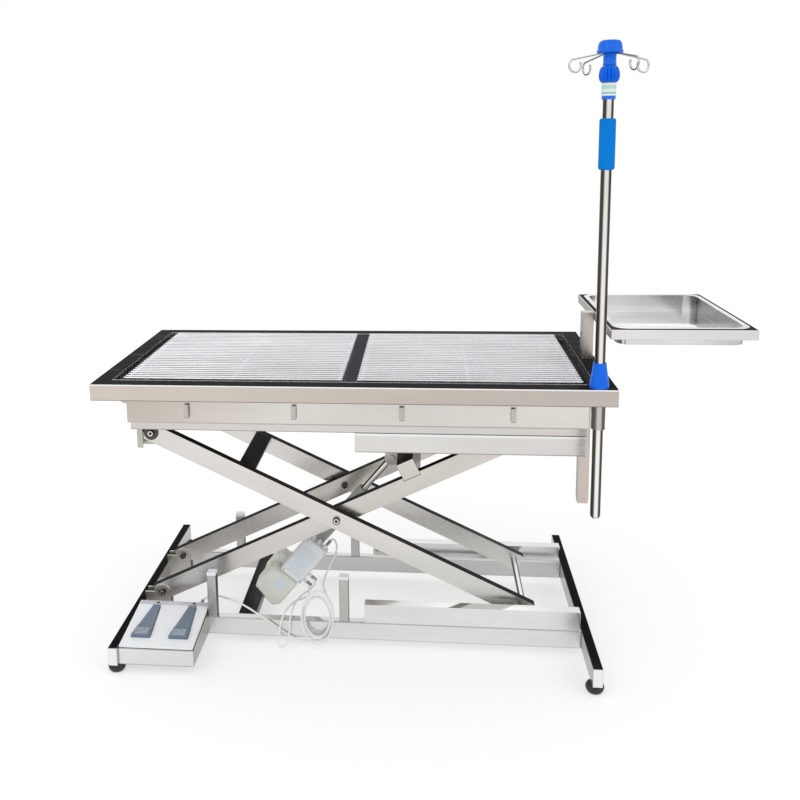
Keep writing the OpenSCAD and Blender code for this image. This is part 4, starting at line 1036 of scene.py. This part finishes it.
def plastic_finishes(plastic):
    """The moulded pieces, with roughness, pebbles to the metre, their depth and the mottle."""
    pale = (0.76, 0.82, 0.8)
    green = (0.2, 0.6, 0.47)
    light_green = (0.42, 0.7, 0.6)
    satin = {"Specular_IOR_Level": 0.22}
    dull = {"Specular_IOR_Level": 0.15}
    rings = [(1.4472, pale), (1.4515, green), (1.4555, pale), (1.4625, light_green), (1.4705, pale)]
    return {
        "blue": moulded("Blue fitting", tuple(plastic.blue), 0.26, 700.0, 0.02, 0.06, **satin),
        "foam": moulded("Foam grip", tuple(plastic.foam), 0.85, 1500.0, 0.8, 0.1, **dull),
        "white": moulded("White housing", tuple(plastic.white), 0.4, 1100.0, 0.3, 0.03),
        "cream": moulded("Motor housing", tuple(plastic.cream), 0.42, 1000.0, 0.35, 0.04),
        "pedal": moulded("Pedal", tuple(plastic.pedal), 0.5, 800.0, 0.5, 0.08),
        "rubber": moulded("Rubber", tuple(plastic.rubber), 0.42, 900.0, 0.4, 0.1),
        "grey": moulded("Lift tube", (0.42, 0.43, 0.39), 0.38, 1000.0, 0.2, 0.05),
        "collar": banded("Collar", [(0, tuple(plastic.blue)), *rings], 0.34),
    }


# What the solids wear: a finish, the radius of the eased edges in metres or as a property, and the nodes
WORN = (
    ("rim", "fold_round", "table_frame"),
    ("divider", 0.001, "divider"),
    ("basin", 0.0006, "basin"),
    ("rod", 0, "grille_left", "grille_right"),
    ("rail", "tube_round", "upper_rails"),
    ("middle", 0.0015, "bearers"),
    ("middle", "tube_round", "base_mid_member", "outer_cross_tube"),
    ("track", 0.0007, "upper_tracks", "lower_tracks"),
    ("base_rail", "tube_round", "base_rails"),
    ("base_rail", 0.0005, "switch_tray"),
    ("cross_member", "tube_round", "base_left_member", "base_right_member"),
    ("plate", 0.0004, "tie_hooks"),
    ("plate", 0.0005, "base_ears", "table_ears"),
    ("plate", 0.0006, "actuator_bracket", "rod_ears"),
    ("inner_arm", "tube_round", "inner_arms"),
    ("outer_arm", "tube_round", "outer_arms"),
    ("lift_tube", "tube_round", "inner_cross_tube"),
    ("bolt", 0.0008, "base_pivot_bolts", "centre_bolts", "table_pivot_bolts"),
    ("axle", 0.0006, "upper_axle", "lower_axle"),
    ("axle", 0, "roller_upper_front", "roller_upper_back", "roller_lower_front", "roller_lower_back"),
    ("post", 0.0018, "stop_posts"),
    ("white", 0.001, "stop_caps", "control_box"),
    ("white", 0.002, "switch_housing"),
    ("white", 0, "switch_cord", "cord_coil", "control_lead", "motor_lead"),
    ("rubber", 0.0015, "feet"),
    ("rubber", 0.0008, "cord_gland"),
    ("pedal", 0.001, "pedal_left", "pedal_right"),
    ("cream", 0.0035, "actuator_housing"),
    ("grey", 0.0015, "actuator_tube"),
    ("pole", 0.0008, "actuator_rod", "mast_rod"),
    ("pole", 0.0005, "pole_tube"),
    ("sleeve", 0.0008, "pole_sleeve"),
    ("blue", 0.0015, "pole_cone", "hook_head"),
    ("blue", 0.0012, "twist_knob"),
    ("foam", 0.001, "pole_grip"),
    ("collar", 0.0008, "pole_collar"),
    ("wire", 0, "pole_hooks"),
    ("tray_post", "tube_round", "tray_post"),
    ("tray_post", 0.001, "tray_sleeve"),
    ("tray", 0.002, "tray_frame"),
    ("pan", 0.0004, "tray_pan"),
)


class EXAM_OT_finishes(bpy.types.Operator):
    """Gives every solid of the model its finish and eased edges"""

    bl_idname = "exam.finishes"
    bl_label = "Finishes"

    def execute(self, context):
        steel = context.scene.exam_steel
        plastic = context.scene.exam_plastic
        finishes = {**steel_finishes(steel), **round_finishes(), **plastic_finishes(plastic)}
        missing = sorted(set(NODES) - {node for _, _, *nodes in WORN for node in nodes})
        if missing:
            raise ValueError("no finish for " + ", ".join(missing))
        for finish, radius, *nodes in WORN:
            if isinstance(radius, str):
                radius = getattr(steel, radius)
            for node in nodes:
                wear(NODES[node], finishes[finish])
                if radius:
                    ease_edges(NODES[node], radius)
        return {"FINISHED"}


# Studio: the floor and the world, with what the camera sees, what steel mirrors and what lights the object

FLOOR_SIZE = 120
FLOOR_DROP = 0.0004
FLOOR_TONE = 0.8
FLOOR_TONE_SEEN = 0.46
FLOOR_GLOW_SEEN = 0.58
FLOOR_GLOW_MIRRORED = 0.53
WORLD_LIGHT = 0.92

# Lamps, with their places, sizes in metres and watts
LAMPS = (
    ("Key lamp", (-2.2, -3.0, 3.4), 2.6, 26),
    ("Fill lamp", (3.0, -2.2, 2.4), 2.4, 14),
    ("Back lamp", (0.4, 3.0, 3.2), 2.4, 8),
)
LAMPS_AIM = (0, 0, 0.6)

# The camera as it was fitted to the photo, its angles in radians
CAMERA_AT = (0.02714, -2.48426, 1.37763)
CAMERA_YAW = 0.1116
CAMERA_PITCH = 0.1698
CAMERA_ROLL = -0.0194
CAMERA_LENS = 41.36
CAMERA_SENSOR = 36
CAMERA_SHIFT = (0.094, -0.1375)
CAMERA_REACH = 200


def light_path(tree):
    """1 for the camera's own rays, and 1 for those that a surface mirrors or lets through."""
    ray = put(tree, "ShaderNodeLightPath").outputs
    return ray["Is Camera Ray"], maths(tree, "MAXIMUM", ray["Is Glossy Ray"], ray["Is Transmission Ray"])


def camera_turn():
    """The camera's axes, level first and then rolled."""
    level = math.cos(CAMERA_PITCH)
    forward = Vector((-math.sin(CAMERA_YAW) * level, math.cos(CAMERA_YAW) * level, -math.sin(CAMERA_PITCH)))
    right = Vector((math.cos(CAMERA_YAW), math.sin(CAMERA_YAW), 0))
    upward = right.cross(forward)
    side = math.cos(CAMERA_ROLL) * right + math.sin(CAMERA_ROLL) * upward
    top = -math.sin(CAMERA_ROLL) * right + math.cos(CAMERA_ROLL) * upward
    return Matrix((side, top, -forward)).transposed().to_4x4()


class EXAM_OT_studio(bpy.types.Operator):
    """Sets the pale floor, the soft lamps, the plain background and the camera"""

    bl_idname = "exam.studio"
    bl_label = "Studio"

    def execute(self, context):
        scene = context.scene
        scene.view_settings.view_transform = "Standard"
        world = bpy.data.worlds.new("Studio")
        scene.world = world
        world.use_nodes = True
        tree = world.node_tree
        back = tree.nodes["Background"]
        back.inputs["Color"].default_value = (1, 1, 1, 1)
        camera_ray, mirrored = light_path(tree)
        seen = maths(tree, "MAXIMUM", camera_ray, mirrored)
        tree.links.new(rescale(tree, seen, 0.0, 1.0, WORLD_LIGHT, 1.0), back.inputs["Strength"])

        clear_choice()
        bpy.ops.mesh.primitive_plane_add(size=FLOOR_SIZE, location=(0, 0, -FLOOR_DROP))
        floor = settle(context.object, "floor")
        made, tree, shader = start_finish("Pale floor", grey(FLOOR_TONE), 0.6, Specular_IOR_Level=0.0)
        camera_ray, mirrored = light_path(tree)
        seen = maths(tree, "MAXIMUM", camera_ray, mirrored)
        glow = maths(tree, "MAXIMUM", maths(tree, "MULTIPLY", camera_ray, FLOOR_GLOW_SEEN),
                     maths(tree, "MULTIPLY", mirrored, FLOOR_GLOW_MIRRORED))
        shader.inputs["Emission Color"].default_value = (1, 1, 1, 1)
        tree.links.new(glow, shader.inputs["Emission Strength"])
        colour = blend_colours(tree, seen, grey(FLOOR_TONE), grey(FLOOR_TONE_SEEN))
        tree.links.new(colour, shader.inputs["Base Color"])
        wear(floor, made)

        for name, place, size, watts in LAMPS:
            lamp = bpy.data.objects.new(name, bpy.data.lights.new(name, "AREA"))
            lamp.data.shape = "DISK"
            lamp.data.size = size
            lamp.data.energy = watts
            lamp.location = place
            lamp.visible_camera = False
            lamp.rotation_euler = (Vector(LAMPS_AIM) - Vector(place)).to_track_quat("-Z", "Y").to_euler()
            scene.collection.objects.link(lamp)

        camera = bpy.data.objects.new("Camera", bpy.data.cameras.new("Camera"))
        camera.data.lens = CAMERA_LENS
        camera.data.sensor_width = CAMERA_SENSOR
        camera.data.shift_x, camera.data.shift_y = CAMERA_SHIFT
        camera.data.clip_end = CAMERA_REACH
        camera.matrix_world = Matrix.Translation(CAMERA_AT) @ camera_turn()
        scene.collection.objects.link(camera)
        scene.camera = camera
        return {"FINISHED"}


class EXAM_PT_panel(bpy.types.Panel):
    """The exam table's steps, in order"""

    bl_label = "Exam Table"
    bl_idname = "EXAM_PT_panel"
    bl_space_type = "VIEW_3D"
    bl_region_type = "UI"
    bl_category = "Exam Table"

    def draw(self, context):
        for step in STEPS:
            self.layout.operator(step.bl_idname)
        for group in (context.scene.exam_steel, context.scene.exam_plastic, context.scene.exam_cords):
            box = self.layout.box()
            for key in group.__annotations__:
                box.prop(group, key)


STEPS = (
    EXAM_OT_studio,
    EXAM_OT_finishes,
    EXAM_OT_cords,
    EXAM_OT_pole_head,
    EXAM_OT_foot_switch,
    EXAM_OT_lift_housings,
    EXAM_OT_bolts,
)
CLASSES = (ExamTableSteel, ExamTablePlastic, ExamTableCords, *STEPS, EXAM_PT_panel)


def register():
    for made in CLASSES:
        bpy.utils.register_class(made)
    bpy.types.Scene.exam_steel = bpy.props.PointerProperty(type=ExamTableSteel)
    bpy.types.Scene.exam_plastic = bpy.props.PointerProperty(type=ExamTablePlastic)
    bpy.types.Scene.exam_cords = bpy.props.PointerProperty(type=ExamTableCords)


def unregister():
    del bpy.types.Scene.exam_cords
    del bpy.types.Scene.exam_plastic
    del bpy.types.Scene.exam_steel
    for made in reversed(CLASSES):
        bpy.utils.unregister_class(made)


def main():
    register()
    bpy.ops.exam.studio()
    bpy.ops.exam.finishes()
    bpy.ops.exam.cords()
    bpy.ops.exam.pole_head()
    bpy.ops.exam.foot_switch()
    bpy.ops.exam.lift_housings()
    bpy.ops.exam.bolts()


if __name__ == "__main__":
    main()
